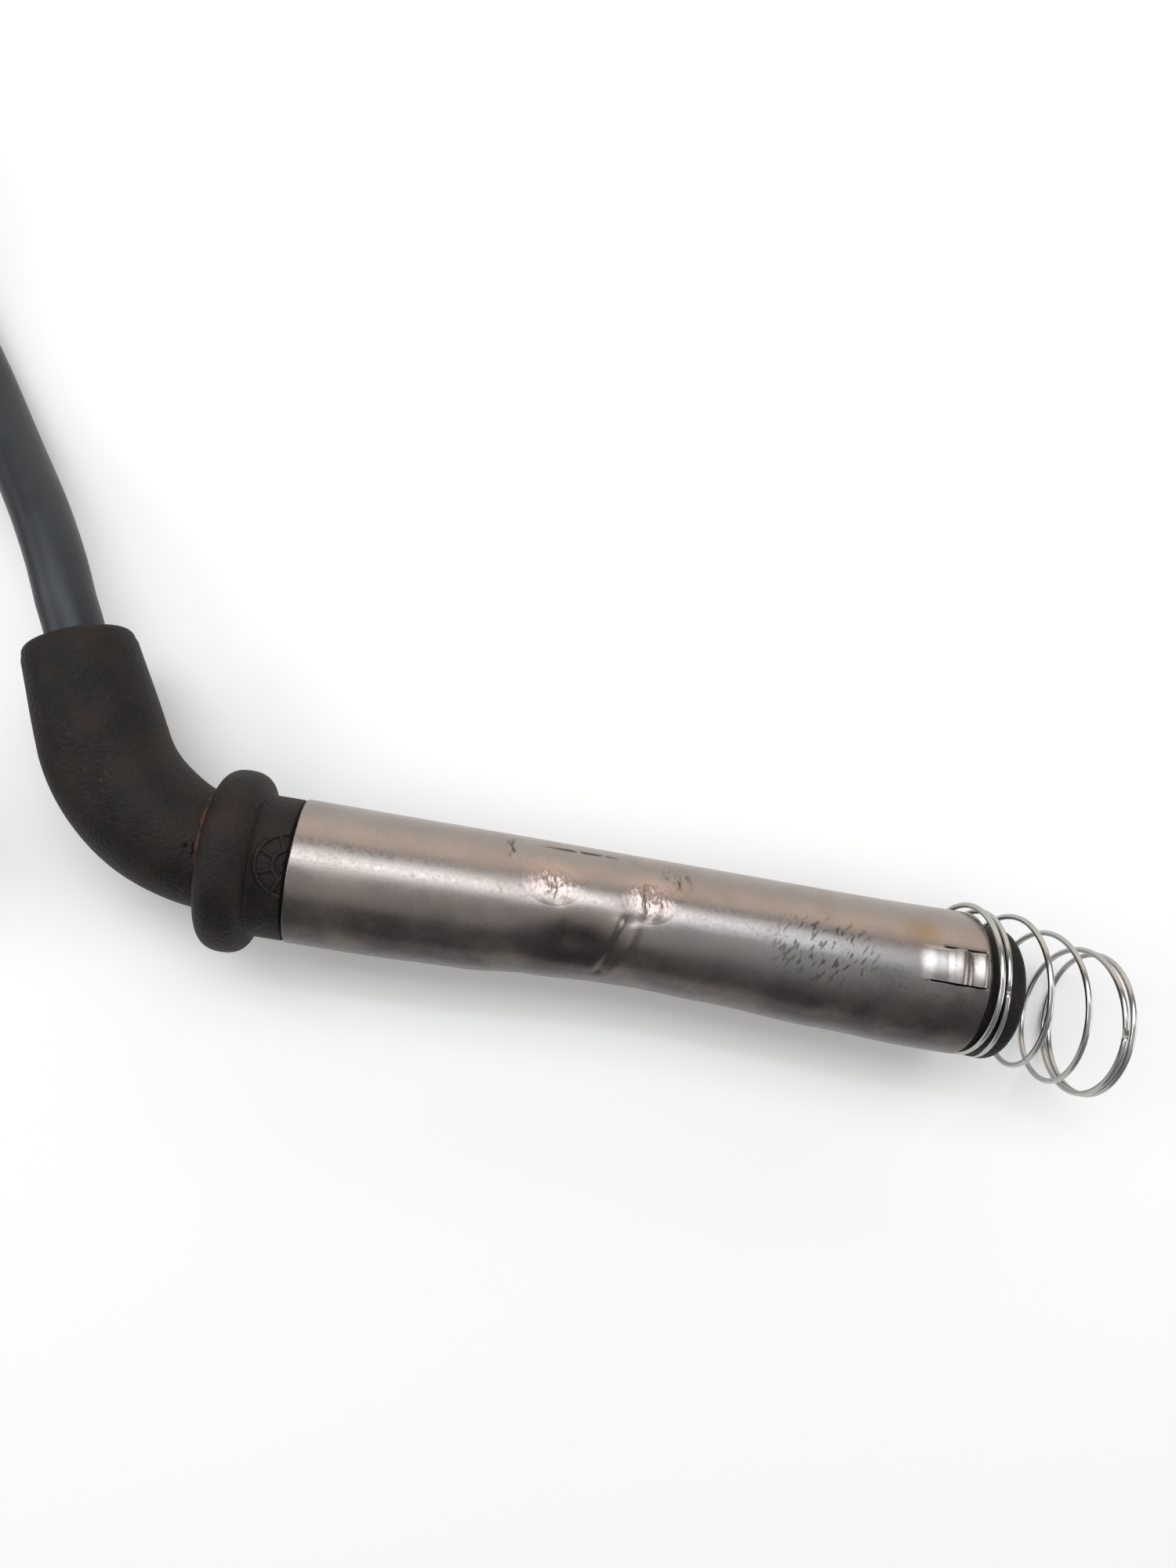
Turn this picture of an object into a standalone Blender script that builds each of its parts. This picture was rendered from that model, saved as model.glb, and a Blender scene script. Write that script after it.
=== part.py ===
"""Ignition lead, spark plug end: an angled rubber boot in a sliding aluminium heat shield, with a ground
spring on the shield's mouth and the rest of the lead coiled beside it.

Blender script, metres, +Z up. The shield's axis runs along +X towards the plug, the lead's elbow lies in
the XY plane, and the boot's collar rests on the plane z = 0. Run it with blender --background --python.
"""

import math

import bmesh
import bpy
from mathutils import Matrix, Vector

MM = 0.001
GAP = 0.3 * MM  # clearance between neighbouring solids

# Lead cable
CABLE_R = 4.0 * MM
JACKET_WALL = 1.1 * MM
CORE_R = 0.7 * MM

# Plug boot
BODY_R = 9.25 * MM
SHIELD_WALL = 0.45 * MM
SHIELD_R = BODY_R + GAP + SHIELD_WALL
NECK_R = SHIELD_R - 0.15 * MM  # a shoulder that stops the shield, nearly flush with it
NECK_LENGTH = 8.3 * MM  # from the collar's middle to the shield's rim
COLLAR_R = NECK_R + 2.8 * MM
COLLAR_WIDTH = 6.7 * MM
NOSE_LENGTH = 5.8 * MM  # how far the boot stands out of the shield
NOSE_ROUND = 1.2 * MM
ELBOW_TURN = math.radians(66.0)
ELBOW_BEND_R = 22.0 * MM
ELBOW_START_R = 8.1 * MM
ELBOW_MID_R = 8.5 * MM
CUFF_END_R = 7.45 * MM
CUFF_ROUND = 1.3 * MM
ELBOW_LEAD_IN = 0.41 * MM  # straight stretch between the collar's middle and the bend
CUFF_LENGTH = 14.51 * MM  # straight stretch beyond the bend
PLUG_BORE_R = 5.2 * MM
SEAL_RIB_R = PLUG_BORE_R - 0.35 * MM
SEAL_RIB_WIDTH = 1.5 * MM
MOUTH_R = PLUG_BORE_R + 0.9 * MM
MOUTH_DEPTH = 1.5 * MM

# Heat shield
SHIELD_LENGTH = 94.2 * MM
TAB_LENGTH = 9.1 * MM
TAB_WIDTH = 4.2 * MM
TAB_EDGE = 0.9 * MM  # from the tab's tip to the shield's rim
TAB_SLOT = 0.35 * MM
TAB_ANGLE = math.radians(16.0)  # from straight up, towards +Y
TAB_RISE = 0.6 * MM

# Ground spring, in turns counted from the first pass over the shield's mouth
WIRE_R = 0.4 * MM
COIL_R = BODY_R + 0.5 * MM + WIRE_R  # clear of the boot's nose
SEAT_START = -0.6
SEAT_PITCH = 2 * WIRE_R + 0.4 * MM
COIL_START = 1.0
COIL_END = 4.0
COIL_PITCH = 6.1 * MM
LAST_TURN = 5.5
CLOSED_PITCH = 2 * WIRE_R + 0.2 * MM
SAG_START = 1.8
SAG_Y = -3.4 * MM
SAG_Z = COIL_R + WIRE_R + 0.1 * MM - COLLAR_R  # the last turn all but touches the floor
SEAT_STANDOFF = WIRE_R + 0.7 * MM  # from the shield's rim to the wire of turn 0
POINTS_PER_TURN = 24

# Terminals, and the cavity of the plug's, which is measured from the shield's rim at the collar
CAVITY_START = 22.0 * MM
TERMINAL_SETBACK = 2.0 * MM
BARREL_WALL = 0.8 * MM
BARREL_LENGTH = 13.0 * MM
SHOULDER_LENGTH = 2.5 * MM
SOCKET_LENGTH = 13.5 * MM
SOCKET_BORE_R = 3.35 * MM
SOCKET_WALL = 0.65 * MM
WINDOW_WIDTH = 2.4 * MM
CLIP_WIRE_R = 0.35 * MM
CLIP_DIP = 1.3 * MM
CLIP_OPENING = math.radians(60.0)
CRIMPED_LENGTH = 9.0 * MM  # jacket held in the barrel
CORE_LOOP = 3.2 * MM  # how far the bared core stands out before it turns back
TERMINAL_LENGTH = BARREL_LENGTH + SHOULDER_LENGTH + SOCKET_LENGTH
TERMINAL_REACH = max(
    CABLE_R + GAP + BARREL_WALL, SOCKET_BORE_R + SOCKET_WALL + GAP + 2 * CLIP_WIRE_R
)
CAVITY_R = TERMINAL_REACH + 0.5 * MM
CAVITY_LENGTH = TERMINAL_SETBACK + TERMINAL_LENGTH + 1.0 * MM

# Coil-end boot
COIL_BORE_R = TERMINAL_REACH + 0.8 * MM
COIL_BOOT_R = COIL_BORE_R + 1.6 * MM
COIL_BOOT_LIP_R = COIL_BOOT_R + 1.0 * MM
COIL_BOOT_LIP = 5.0 * MM
COIL_BOOT_CUFF_R = CABLE_R + 2.4 * MM
COIL_CAVITY_START = 14.0 * MM
COIL_BOOT_LENGTH = COIL_CAVITY_START + MM + TERMINAL_LENGTH + 4.0 * MM

# The lead put away beside the boot
RING_R = 42.0 * MM
RING_LIFT = 1.1 * MM  # the ties under the coil
RING_CENTRE = Vector((-101.9 * MM - RING_R - 2 * CABLE_R, 63.6 * MM, 0.0))
RING_TURNS = 2
LAYER_STEP = 2 * CABLE_R + GAP
TIE_THICKNESS = 0.8 * MM
TIE_WIDTH = 3.2 * MM
TIE_ANGLES = {"coil_tie_first": math.radians(75.0), "coil_tie_second": math.radians(200.0)}
TAIL_AXIS = math.radians(-30.0)  # heading of the coil-end boot
TAIL_START = RING_CENTRE + Vector((2.1 * MM, 0.25 * MM - RING_R - 2 * CABLE_R, 10.3 * MM))
# Middle of the coil-end boot's cuff face
COIL_BOOT_AT = TAIL_START + Vector((10.2, -5.85, -1.7)) * MM

SIDES = 40
FINE_SIDES = 48

# Where the shield's rim at the collar stands
RIM_X = -37.8 * MM
AXIS_Y = -7.49 * MM
AXIS_Z = COLLAR_R

BOOT_END = SHIELD_LENGTH + NOSE_LENGTH
TANGENT = ELBOW_BEND_R * math.tan(ELBOW_TURN / 2)
CORNER_X = -NECK_LENGTH - ELBOW_LEAD_IN - TANGENT
CUFF_HEADING = Vector((-math.cos(ELBOW_TURN), math.sin(ELBOW_TURN), 0.0))
CUFF_END = Vector((CORNER_X, 0, 0)) + CUFF_HEADING * (TANGENT + CUFF_LENGTH)

# The lead's free run from the cuff to the coil, chosen by hand, in millimetres: x, y, height
LEAD_ROUTE = (
    (-75.0, 24.0, 12.4),
    (-77.3, 28.8, 11.6),
    (-80.1, 33.6, 10.3),
    (-82.8, 37.7, 9.0),
    (-85.4, 41.3, 7.7),
    (-88.1, 45.0, 6.5),
    (-91.1, 49.3, 5.3),
    (-95.2, 55.4, 4.4),
    (-98.6, 60.3, 4.5),
    (-102.2, 65.5, 5.0),
)


def linear(channel):
    """One sRGB channel, 0 to 255, as a linear value."""
    c = channel / 255
    return c / 12.92 if c <= 0.04045 else ((c + 0.055) / 1.055) ** 2.4


def finish(name, rgb, roughness, metallic=0.0):
    material = bpy.data.materials.new(name)
    material.use_nodes = True
    shader = material.node_tree.nodes["Principled BSDF"]
    shader.inputs["Base Color"].default_value = (*[linear(c) for c in rgb], 1.0)
    shader.inputs["Roughness"].default_value = roughness
    shader.inputs["Metallic"].default_value = metallic
    return material


def clear_scene():
    for obj in list(bpy.data.objects):
        bpy.data.objects.remove(obj)


def collection(name):
    made = bpy.data.collections.new(name)
    bpy.context.scene.collection.children.link(made)
    return made


def add_object(name, data, material, group=None):
    obj = bpy.data.objects.new(name, data)
    (group or PARTS).objects.link(obj)
    if material:
        data.materials.append(material)
    return obj


def as_cutter(obj):
    obj.hide_render = True
    obj.display_type = "WIRE"
    return obj


def turned(name, profile, material, sides=SIDES, group=None):
    """A profile of (distance along +X, radius) points turned about the X axis. A profile that starts and
    ends on the axis makes a solid, and one that stays off it is closed into a ring."""
    mesh = bpy.data.meshes.new(name)
    ring = min(radius for _, radius in profile) > 0
    count = len(profile)
    edges = [(i, (i + 1) % count) for i in range(count if ring else count - 1)]
    mesh.from_pydata([(x, 0, radius) for x, radius in profile], edges, [])
    obj = add_object(name, mesh, material, group)
    screw = obj.modifiers.new("Turn", "SCREW")
    screw.axis = "X"
    screw.steps = screw.render_steps = sides
    screw.use_merge_vertices = True
    screw.merge_threshold = 0.00001
    screw.use_normal_calculate = True
    screw.use_normal_flip = True
    screw.use_smooth_shade = True
    return obj


def round_tube(name, points, radius, material, radii=None, resolution=4, group=None):
    """A solid round rod along a polyline; radii gives each point its own radius instead."""
    curve = bpy.data.curves.new(name, "CURVE")
    curve.dimensions = "3D"
    curve.bevel_depth = radius
    curve.bevel_resolution = resolution
    curve.use_fill_caps = True
    spline = curve.splines.new("POLY")
    spline.points.add(len(points) - 1)
    for i, point in enumerate(points):
        spline.points[i].co = (*point, 1.0)
        spline.points[i].radius = radii[i] / radius if radii else 1.0
    return add_object(name, curve, material, group)


def as_mesh(obj, group=None):
    """The object as a plain mesh, welded, with its faces pointing outwards."""
    graph = bpy.context.evaluated_depsgraph_get()
    mesh = bpy.data.meshes.new_from_object(obj.evaluated_get(graph))
    work = bmesh.new()
    work.from_mesh(mesh)
    bmesh.ops.remove_doubles(work, verts=work.verts, dist=0.00001)
    bmesh.ops.recalc_face_normals(work, faces=work.faces)
    work.to_mesh(mesh)
    work.free()
    name = obj.name
    matrix = obj.matrix_world.copy()
    bpy.data.objects.remove(obj)
    made = add_object(name, mesh, None, group)
    made.matrix_world = matrix
    return made


def box_cutter(name, size, matrix):
    mesh = bpy.data.meshes.new(name)
    work = bmesh.new()
    bmesh.ops.create_cube(work, size=1.0, matrix=matrix @ Matrix.Diagonal((*size, 1.0)))
    work.to_mesh(mesh)
    work.free()
    return as_cutter(add_object(name, mesh, None, CUTTERS))


def combine(obj, other, operation):
    step = obj.modifiers.new(f"{operation.title()} {other.name}", "BOOLEAN")
    step.operation = operation
    step.object = other
    step.solver = "EXACT"


def stand(obj, matrix=None):
    """Puts an object that was made about the shield's axis in its place."""
    obj.matrix_world = (matrix or AXIS_FRAME) @ obj.matrix_world
    return obj


def elbow_point(distance):
    """(centre, radius) of the elbow at a distance along its middle line from the collar's middle."""
    straight = ELBOW_LEAD_IN
    arc = ELBOW_BEND_R * ELBOW_TURN
    if distance <= straight:
        centre = Vector((-NECK_LENGTH - distance, 0, 0))
    elif distance <= straight + arc:
        angle = (distance - straight) / ELBOW_BEND_R
        centre = Vector(
            (
                CORNER_X + TANGENT - ELBOW_BEND_R * math.sin(angle),
                ELBOW_BEND_R * (1 - math.cos(angle)),
                0,
            )
        )
    else:
        bend_end = Vector((CORNER_X, 0, 0)) + CUFF_HEADING * TANGENT
        centre = bend_end + CUFF_HEADING * (distance - straight - arc)
    middle = straight + 0.6 * arc
    share = min(distance / middle, 1.0)
    radius = ELBOW_START_R + (ELBOW_MID_R - ELBOW_START_R) * share
    if distance > middle:
        fall = (distance - middle) / (elbow_length() - middle)
        radius = ELBOW_MID_R + (CUFF_END_R - ELBOW_MID_R) * fall
    return centre, radius


def elbow_length():
    return ELBOW_LEAD_IN + ELBOW_BEND_R * ELBOW_TURN + CUFF_LENGTH


def elbow_line(stations):
    return [elbow_point(s)[0] for s in stations]


def elbow_stations(step, start=0.0, end=None):
    end = elbow_length() if end is None else end
    count = max(2, math.ceil((end - start) / step))
    return [start + (end - start) * i / count for i in range(count + 1)]


def collar_outline():
    """Half of the bead's section as an arc, from the elbow's side to the neck."""
    half = COLLAR_WIDTH / 2
    rise = COLLAR_R - half
    first = math.acos(max(-1.0, min(1.0, (ELBOW_START_R - 1.0 * MM - rise) / half)))
    last = math.acos(max(-1.0, min(1.0, (NECK_R - rise) / half)))
    steps = 14
    angles = [-first + (first + last) * i / steps for i in range(steps + 1)]
    return [(-NECK_LENGTH + half * math.sin(a), rise + half * math.cos(a)) for a in angles]


def plug_boot(rubber):
    start = -NECK_LENGTH - COLLAR_WIDTH / 2
    outline = [(start, 0.0), *collar_outline()]
    outline += [(-2 * GAP, NECK_R), (-GAP, BODY_R), (BOOT_END - NOSE_ROUND, BODY_R)]
    for i in range(1, 5):
        angle = math.pi / 8 * i
        outline.append(
            (
                BOOT_END - NOSE_ROUND * (1 - math.sin(angle)),
                BODY_R - NOSE_ROUND * (1 - math.cos(angle)),
            )
        )
    outline.append((BOOT_END, 0.0))
    outline[0] = (outline[1][0], 0.0)
    boot = stand(turned("plug_boot", outline, rubber, FINE_SIDES))

    stations = elbow_stations(2.5 * MM, 0.0, elbow_length() - CUFF_ROUND)
    points = elbow_line(stations)
    radii = [elbow_point(s)[1] for s in stations]
    for i in range(1, 5):
        angle = math.pi / 8 * i
        points.append(elbow_point(elbow_length() - CUFF_ROUND * (1 - math.sin(angle)))[0])
        radii.append(CUFF_END_R - CUFF_ROUND * (1 - math.cos(angle)))
    arm = as_mesh(round_tube("elbow_arm", points, MM, None, radii, 18, CUTTERS), CUTTERS)
    combine(boot, as_cutter(stand(arm)), "UNION")

    path = elbow_line(elbow_stations(2.5 * MM))
    path = [*reversed(path)]
    path = [path[0] + CUFF_HEADING * MM, *path, Vector((CAVITY_START + MM, 0, 0))]
    passage = as_mesh(round_tube("lead_passage", path, CABLE_R + GAP, None, None, 8, CUTTERS), CUTTERS)
    combine(boot, as_cutter(stand(passage)), "DIFFERENCE")
    combine(boot, as_cutter(stand(plug_bore())), "DIFFERENCE")
    return boot


def plug_bore():
    """The hollow that takes the terminal and the plug's insulator, with two seal ribs near its mouth."""
    cavity_end = CAVITY_START + CAVITY_LENGTH
    outline = [(CAVITY_START, 0.0), (CAVITY_START, CAVITY_R), (cavity_end, CAVITY_R)]
    outline.append((cavity_end + abs(CAVITY_R - PLUG_BORE_R), PLUG_BORE_R))
    for rib in (3, 2):
        middle = BOOT_END - MOUTH_DEPTH - rib * 2.2 * SEAL_RIB_WIDTH + SEAL_RIB_WIDTH
        half = SEAL_RIB_WIDTH / 2
        outline += [
            (middle - half, PLUG_BORE_R),
            (middle - half / 2, SEAL_RIB_R),
            (middle + half / 2, SEAL_RIB_R),
            (middle + half, PLUG_BORE_R),
        ]
    outline += [
        (BOOT_END - MOUTH_DEPTH, PLUG_BORE_R),
        (BOOT_END, MOUTH_R),
        (BOOT_END + MM, MOUTH_R),
        (BOOT_END + MM, 0.0),
    ]
    return as_mesh(turned("plug_bore", outline, None, SIDES, CUTTERS), CUTTERS)


def heat_shield(aluminium):
    inner = SHIELD_R - SHIELD_WALL
    outline = [(0, inner), (0, SHIELD_R), (SHIELD_LENGTH, SHIELD_R), (SHIELD_LENGTH, inner)]
    shield = stand(turned("heat_shield", outline, aluminium, FINE_SIDES))
    tip = SHIELD_LENGTH - TAB_EDGE
    turn = AXIS_FRAME @ Matrix.Rotation(-TAB_ANGLE, 4, "X")
    depth = 4 * SHIELD_WALL
    for side in (-1, 1):
        place = Vector((tip - TAB_LENGTH / 2, side * (TAB_WIDTH + TAB_SLOT) / 2, SHIELD_R))
        size = (TAB_LENGTH, TAB_SLOT, depth)
        slot = box_cutter(f"tab_slot_{side + 1}", size, turn @ Matrix.Translation(place))
        combine(shield, slot, "DIFFERENCE")
    place = Vector((tip + TAB_SLOT / 2, 0, SHIELD_R))
    size = (TAB_SLOT + 0.02 * MM, TAB_WIDTH + 2 * TAB_SLOT, depth)
    end_slot = box_cutter("tab_slot_end", size, turn @ Matrix.Translation(place))
    combine(shield, end_slot, "DIFFERENCE")
    place = Vector((tip - TAB_LENGTH / 3, 0, SHIELD_R - SHIELD_WALL / 2 + TAB_RISE / 2))
    size = (2.4 * MM, TAB_WIDTH - 0.4 * MM, TAB_RISE + SHIELD_WALL / 2)
    hump = box_cutter("tab_hump", size, turn @ Matrix.Translation(place))
    combine(shield, hump, "UNION")
    return shield


def spring_point(turn):
    """The wire's centre at a turn count. Whole turns are at the top, and it runs on towards -Y."""
    rim = SHIELD_LENGTH + SEAT_STANDOFF
    seat = min(turn, COIL_START)
    x = rim + seat * (SEAT_PITCH if seat > 0 else 3.2 * SEAT_PITCH)
    x += COIL_PITCH * max(0.0, min(turn, COIL_END) - COIL_START)
    x += CLOSED_PITCH * max(0.0, turn - COIL_END)
    wide = SHIELD_R + GAP + WIRE_R + 0.05 * MM
    blend = max(0.0, min(1.0, (turn - 0.02) / 0.2))
    radius = wide + (COIL_R - wide) * blend * blend * (3 - 2 * blend)
    sag = max(0.0, min(1.0, (turn - SAG_START) / (COIL_END - SAG_START)))
    angle = 2 * math.pi * turn
    return Vector(
        (x, SAG_Y * sag - radius * math.sin(angle), SAG_Z * sag + radius * math.cos(angle))
    )


def spring_piece(name, first, last, steel):
    cut = GAP / 2 / (2 * math.pi * COIL_R)
    first += cut if first > SEAT_START else 0.0
    last -= cut if last < LAST_TURN else 0.0
    count = math.ceil((last - first) * POINTS_PER_TURN)
    points = [spring_point(first + (last - first) * i / count) for i in range(count + 1)]
    return stand(round_tube(name, points, WIRE_R, steel, None, 2))


def terminal(name, start, metal, clip_metal, matrix):
    """A crimp barrel that runs into a snap-on socket, with the wire clip that grips the plug's nut."""
    barrel_in = CABLE_R + GAP
    barrel_out = barrel_in + BARREL_WALL
    socket_out = SOCKET_BORE_R + SOCKET_WALL
    barrel_end = start + BARREL_LENGTH
    socket = barrel_end + SHOULDER_LENGTH
    end = socket + SOCKET_LENGTH
    outline = [
        (start, barrel_in),
        (start, barrel_out),
        (barrel_end, barrel_out),
        (socket, socket_out),
        (end, socket_out),
        (end, SOCKET_BORE_R),
        (socket, SOCKET_BORE_R),
        (barrel_end, barrel_in),
    ]
    body = stand(turned(name, outline, metal, 32), matrix)
    middle = socket + SOCKET_LENGTH / 2
    place = matrix @ Matrix.Translation((middle, 0, 0))
    size = (WINDOW_WIDTH, 4 * socket_out, WINDOW_WIDTH)
    combine(body, box_cutter(f"{name}_windows", size, place), "DIFFERENCE")

    rest = socket_out + GAP + CLIP_WIRE_R
    half_opening = CLIP_OPENING / 2
    dip_half = math.radians(10.0)
    angles = [half_opening + (2 * math.pi - CLIP_OPENING) * i / 30 for i in range(31)]
    for side in (math.pi / 2, 3 * math.pi / 2):
        angles += [side + dip_half * i / 4 for i in range(-4, 5)]
    points = []
    for angle in sorted(set(round(a, 4) for a in angles)):
        off = min(abs(angle - math.pi / 2), abs(angle - 3 * math.pi / 2))
        dip = math.cos(math.pi / 2 * off / dip_half) ** 2 if off < dip_half else 0.0
        radius = rest - CLIP_DIP * dip
        points.append(Vector((middle, radius * math.sin(angle), -radius * math.cos(angle))))
    stand(round_tube(f"{name}_clip", points, CLIP_WIRE_R, clip_metal, None, 2), matrix)
    return body


def inner_lead(prefix, path, bared, rubber, insulation, carbon, matrix):
    """The stretch of lead inside a boot: its jacket, the insulation in it, and the core that is folded
    back in the crimp. The path ends where the jacket is cut off, along heading bared."""
    inner = CABLE_R - JACKET_WALL
    jacket = as_mesh(round_tube(f"{prefix}_jacket", path, CABLE_R, None, None, 6))
    jacket.data.materials.append(rubber)
    ends = [path[0] + (path[0] - path[1]).normalized() * MM, path[0]]
    hollow_path = [*ends, *path[1:], path[-1] + bared * MM]
    hollow = as_mesh(
        round_tube(f"{prefix}_jacket_hollow", hollow_path, inner, None, None, 5, CUTTERS), CUTTERS
    )
    combine(jacket, as_cutter(stand(hollow, matrix)), "DIFFERENCE")
    stand(jacket, matrix)

    sleeve = as_mesh(round_tube(f"{prefix}_insulation", path, inner - GAP, None, None, 5))
    sleeve.data.materials.append(insulation)
    core_path = [*ends, *path[1:], path[-1] + bared * MM]
    core_hole = as_mesh(
        round_tube(f"{prefix}_core_hole", core_path, CORE_R + GAP, None, None, 3, CUTTERS), CUTTERS
    )
    combine(sleeve, as_cutter(stand(core_hole, matrix)), "DIFFERENCE")
    stand(sleeve, matrix)

    side = Vector((0, 0, 1))
    loop_r = 1.1 * MM
    centre = path[-1] + bared * (CORE_LOOP - loop_r) + side * loop_r
    loop = [
        centre + loop_r * (bared * math.sin(a) - side * math.cos(a))
        for a in (math.pi / 8 * i for i in range(9))
    ]
    back = centre + side * loop_r - bared * (CORE_LOOP - loop_r - CORE_R - GAP)
    stand(round_tube(f"{prefix}_core", [*path, *loop, back], CORE_R, carbon, None, 2), matrix)


def ring_solid(rubber):
    """The coil's outer shape: its turns lie on each other."""
    low, high = RING_LIFT, RING_LIFT + 2 * CABLE_R + (RING_TURNS - 1) * LAYER_STEP
    inner, outer = RING_R - CABLE_R, RING_R + CABLE_R
    outline = [(low, inner), (low, outer), (high, outer), (high, inner)]
    ring = turned("lead_coil", outline, rubber, 64)
    ring.matrix_world = Matrix.Translation(RING_CENTRE) @ Matrix.Rotation(-math.pi / 2, 4, "Y")
    return ring


def coil_tie(name, angle, strap):
    """A flat strap round the section of the coil."""
    high = RING_LIFT + 2 * CABLE_R + (RING_TURNS - 1) * LAYER_STEP
    half_width = CABLE_R + GAP + TIE_THICKNESS
    tall = high + GAP + TIE_THICKNESS
    mesh = bpy.data.meshes.new(name)
    work = bmesh.new()
    size = Matrix.Diagonal((2 * half_width, TIE_WIDTH, tall, 1.0))
    bmesh.ops.create_cube(work, size=1.0, matrix=Matrix.Translation((RING_R, 0, tall / 2)) @ size)
    work.to_mesh(mesh)
    work.free()
    tie = add_object(name, mesh, strap)
    place = Matrix.Translation(RING_CENTRE) @ Matrix.Rotation(angle, 4, "Z")
    tie.matrix_world = place
    inner = (2 * (CABLE_R + GAP), 2 * TIE_WIDTH, tall - 2 * TIE_THICKNESS)
    middle = place @ Matrix.Translation((RING_R, 0, tall / 2))
    combine(tie, box_cutter(f"{name}_hole", inner, middle), "DIFFERENCE")
    return tie


def smooth_run(route, step):
    """Points every step or so along a Catmull-Rom curve through the route's own points."""
    points = [Vector(p) for p in route]
    ends = [2 * points[0] - points[1], *points, 2 * points[-1] - points[-2]]
    run = []
    for i in range(1, len(ends) - 2):
        a, b, c, d = ends[i - 1 : i + 3]
        count = max(1, round((c - b).length / step))
        for k in range(count):
            t = k / count
            run.append(
                0.5
                * (
                    2 * b
                    + (c - a) * t
                    + (2 * a - 5 * b + 4 * c - d) * t * t
                    + (3 * b - a - 3 * c + d) * t**3
                )
            )
    run.append(points[-1])
    return run


def free_lead(rubber):
    exit_at = AXIS_FRAME @ (CUFF_END + CUFF_HEADING * GAP)
    straight = [exit_at, exit_at + CUFF_HEADING * 2.5 * MM]
    route = [*straight, *[Vector(p) * MM for p in LEAD_ROUTE]]
    round_tube("lead_cable", smooth_run(route, 5 * MM), CABLE_R, rubber)

    heading = Vector((math.cos(TAIL_AXIS), math.sin(TAIL_AXIS), 0))
    last = COIL_BOOT_AT - heading * GAP
    tail = [TAIL_START, last - heading * 4 * MM + Vector((0, 0, 0.2 * MM)), last]
    round_tube("lead_tail", smooth_run(tail, 5 * MM), CABLE_R, rubber)


def coil_boot(rubber, metal, clip_metal, lead_finishes):
    place = Matrix.Translation(COIL_BOOT_AT) @ Matrix.Rotation(TAIL_AXIS, 4, "Z")
    lip = COIL_BOOT_LENGTH - COIL_BOOT_LIP
    outline = [
        (0, 0),
        (0, COIL_BOOT_CUFF_R - MM),
        (MM, COIL_BOOT_CUFF_R),
        (COIL_CAVITY_START - 4 * MM, COIL_BOOT_CUFF_R + 0.2 * MM),
        (COIL_CAVITY_START, COIL_BOOT_R),
        (lip - MM, COIL_BOOT_R),
        (lip, COIL_BOOT_LIP_R),
        (COIL_BOOT_LENGTH - MM, COIL_BOOT_LIP_R),
        (COIL_BOOT_LENGTH, COIL_BOOT_LIP_R - MM),
        (COIL_BOOT_LENGTH, 0),
    ]
    boot = turned("coil_boot", outline, rubber)
    hollow = [
        (-MM, 0),
        (-MM, CABLE_R + GAP),
        (COIL_CAVITY_START, CABLE_R + GAP),
        (COIL_CAVITY_START, COIL_BORE_R),
        (COIL_BOOT_LENGTH + MM, COIL_BORE_R),
        (COIL_BOOT_LENGTH + MM, 0),
    ]
    combine(boot, as_cutter(turned("coil_bore", hollow, None, SIDES, CUTTERS)), "DIFFERENCE")
    CUTTERS.objects["coil_bore"].matrix_world = place
    boot.matrix_world = place
    start = COIL_CAVITY_START + MM
    terminal("coil_terminal", start, metal, clip_metal, place)
    jacket_end = Vector((start + CRIMPED_LENGTH, 0, 0))
    path = [jacket_end * (i / 4) for i in range(5)]
    inner_lead("coil_lead", path, Vector((1, 0, 0)), *lead_finishes, place)


def plug_end_lead(finishes):
    jacket_end = CAVITY_START + TERMINAL_SETBACK + CRIMPED_LENGTH
    path = [*reversed(elbow_line(elbow_stations(3.0 * MM)))]
    path += [Vector((x * jacket_end / 4, 0, 0)) for x in range(5)]
    inner_lead("plug_lead", path, Vector((1, 0, 0)), *finishes, AXIS_FRAME)


def build():
    rubber = finish("boot rubber", (46, 40, 37), 0.62)
    jacket = finish("lead jacket", (32, 40, 46), 0.42)
    insulation = finish("lead insulation", (196, 190, 176), 0.6)
    carbon = finish("lead core", (28, 27, 26), 0.7)
    aluminium = finish("drawn aluminium", (160, 158, 158), 0.34, 1.0)
    steel = finish("spring steel", (176, 176, 178), 0.22, 1.0)
    tinned = finish("tinned terminal", (170, 168, 160), 0.3, 1.0)
    nylon = finish("tie nylon", (26, 26, 27), 0.5)

    plug_boot(rubber)
    heat_shield(aluminium)
    spring_piece("spring_seat_turns", SEAT_START, COIL_START, steel)
    spring_piece("spring_coils", COIL_START, COIL_END, steel)
    spring_piece("spring_end_turns", COIL_END, LAST_TURN, steel)
    terminal("plug_terminal", CAVITY_START + TERMINAL_SETBACK, tinned, steel, AXIS_FRAME)
    plug_end_lead((jacket, insulation, carbon))
    free_lead(jacket)
    ring_solid(jacket)
    for name, angle in TIE_ANGLES.items():
        coil_tie(name, angle, nylon)
    coil_boot(rubber, tinned, steel, (jacket, insulation, carbon))


clear_scene()
PARTS = collection("ignition_lead")
CUTTERS = collection("cutters")
AXIS_FRAME = Matrix.Translation((RIM_X, AXIS_Y, AXIS_Z))
build()
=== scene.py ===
# %% [markdown]
# # The spark plug end of an ignition lead
# An angled rubber boot sits in a thin aluminium heat shield, with a ground spring at the shield's mouth
# and the cable coiled beside it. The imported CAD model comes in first. Each detailed piece could be placed
# by hand, but one that takes its place from the CAD model always fits it.

import math

import bmesh
import bpy
from mathutils import Matrix, Vector, noise


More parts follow.
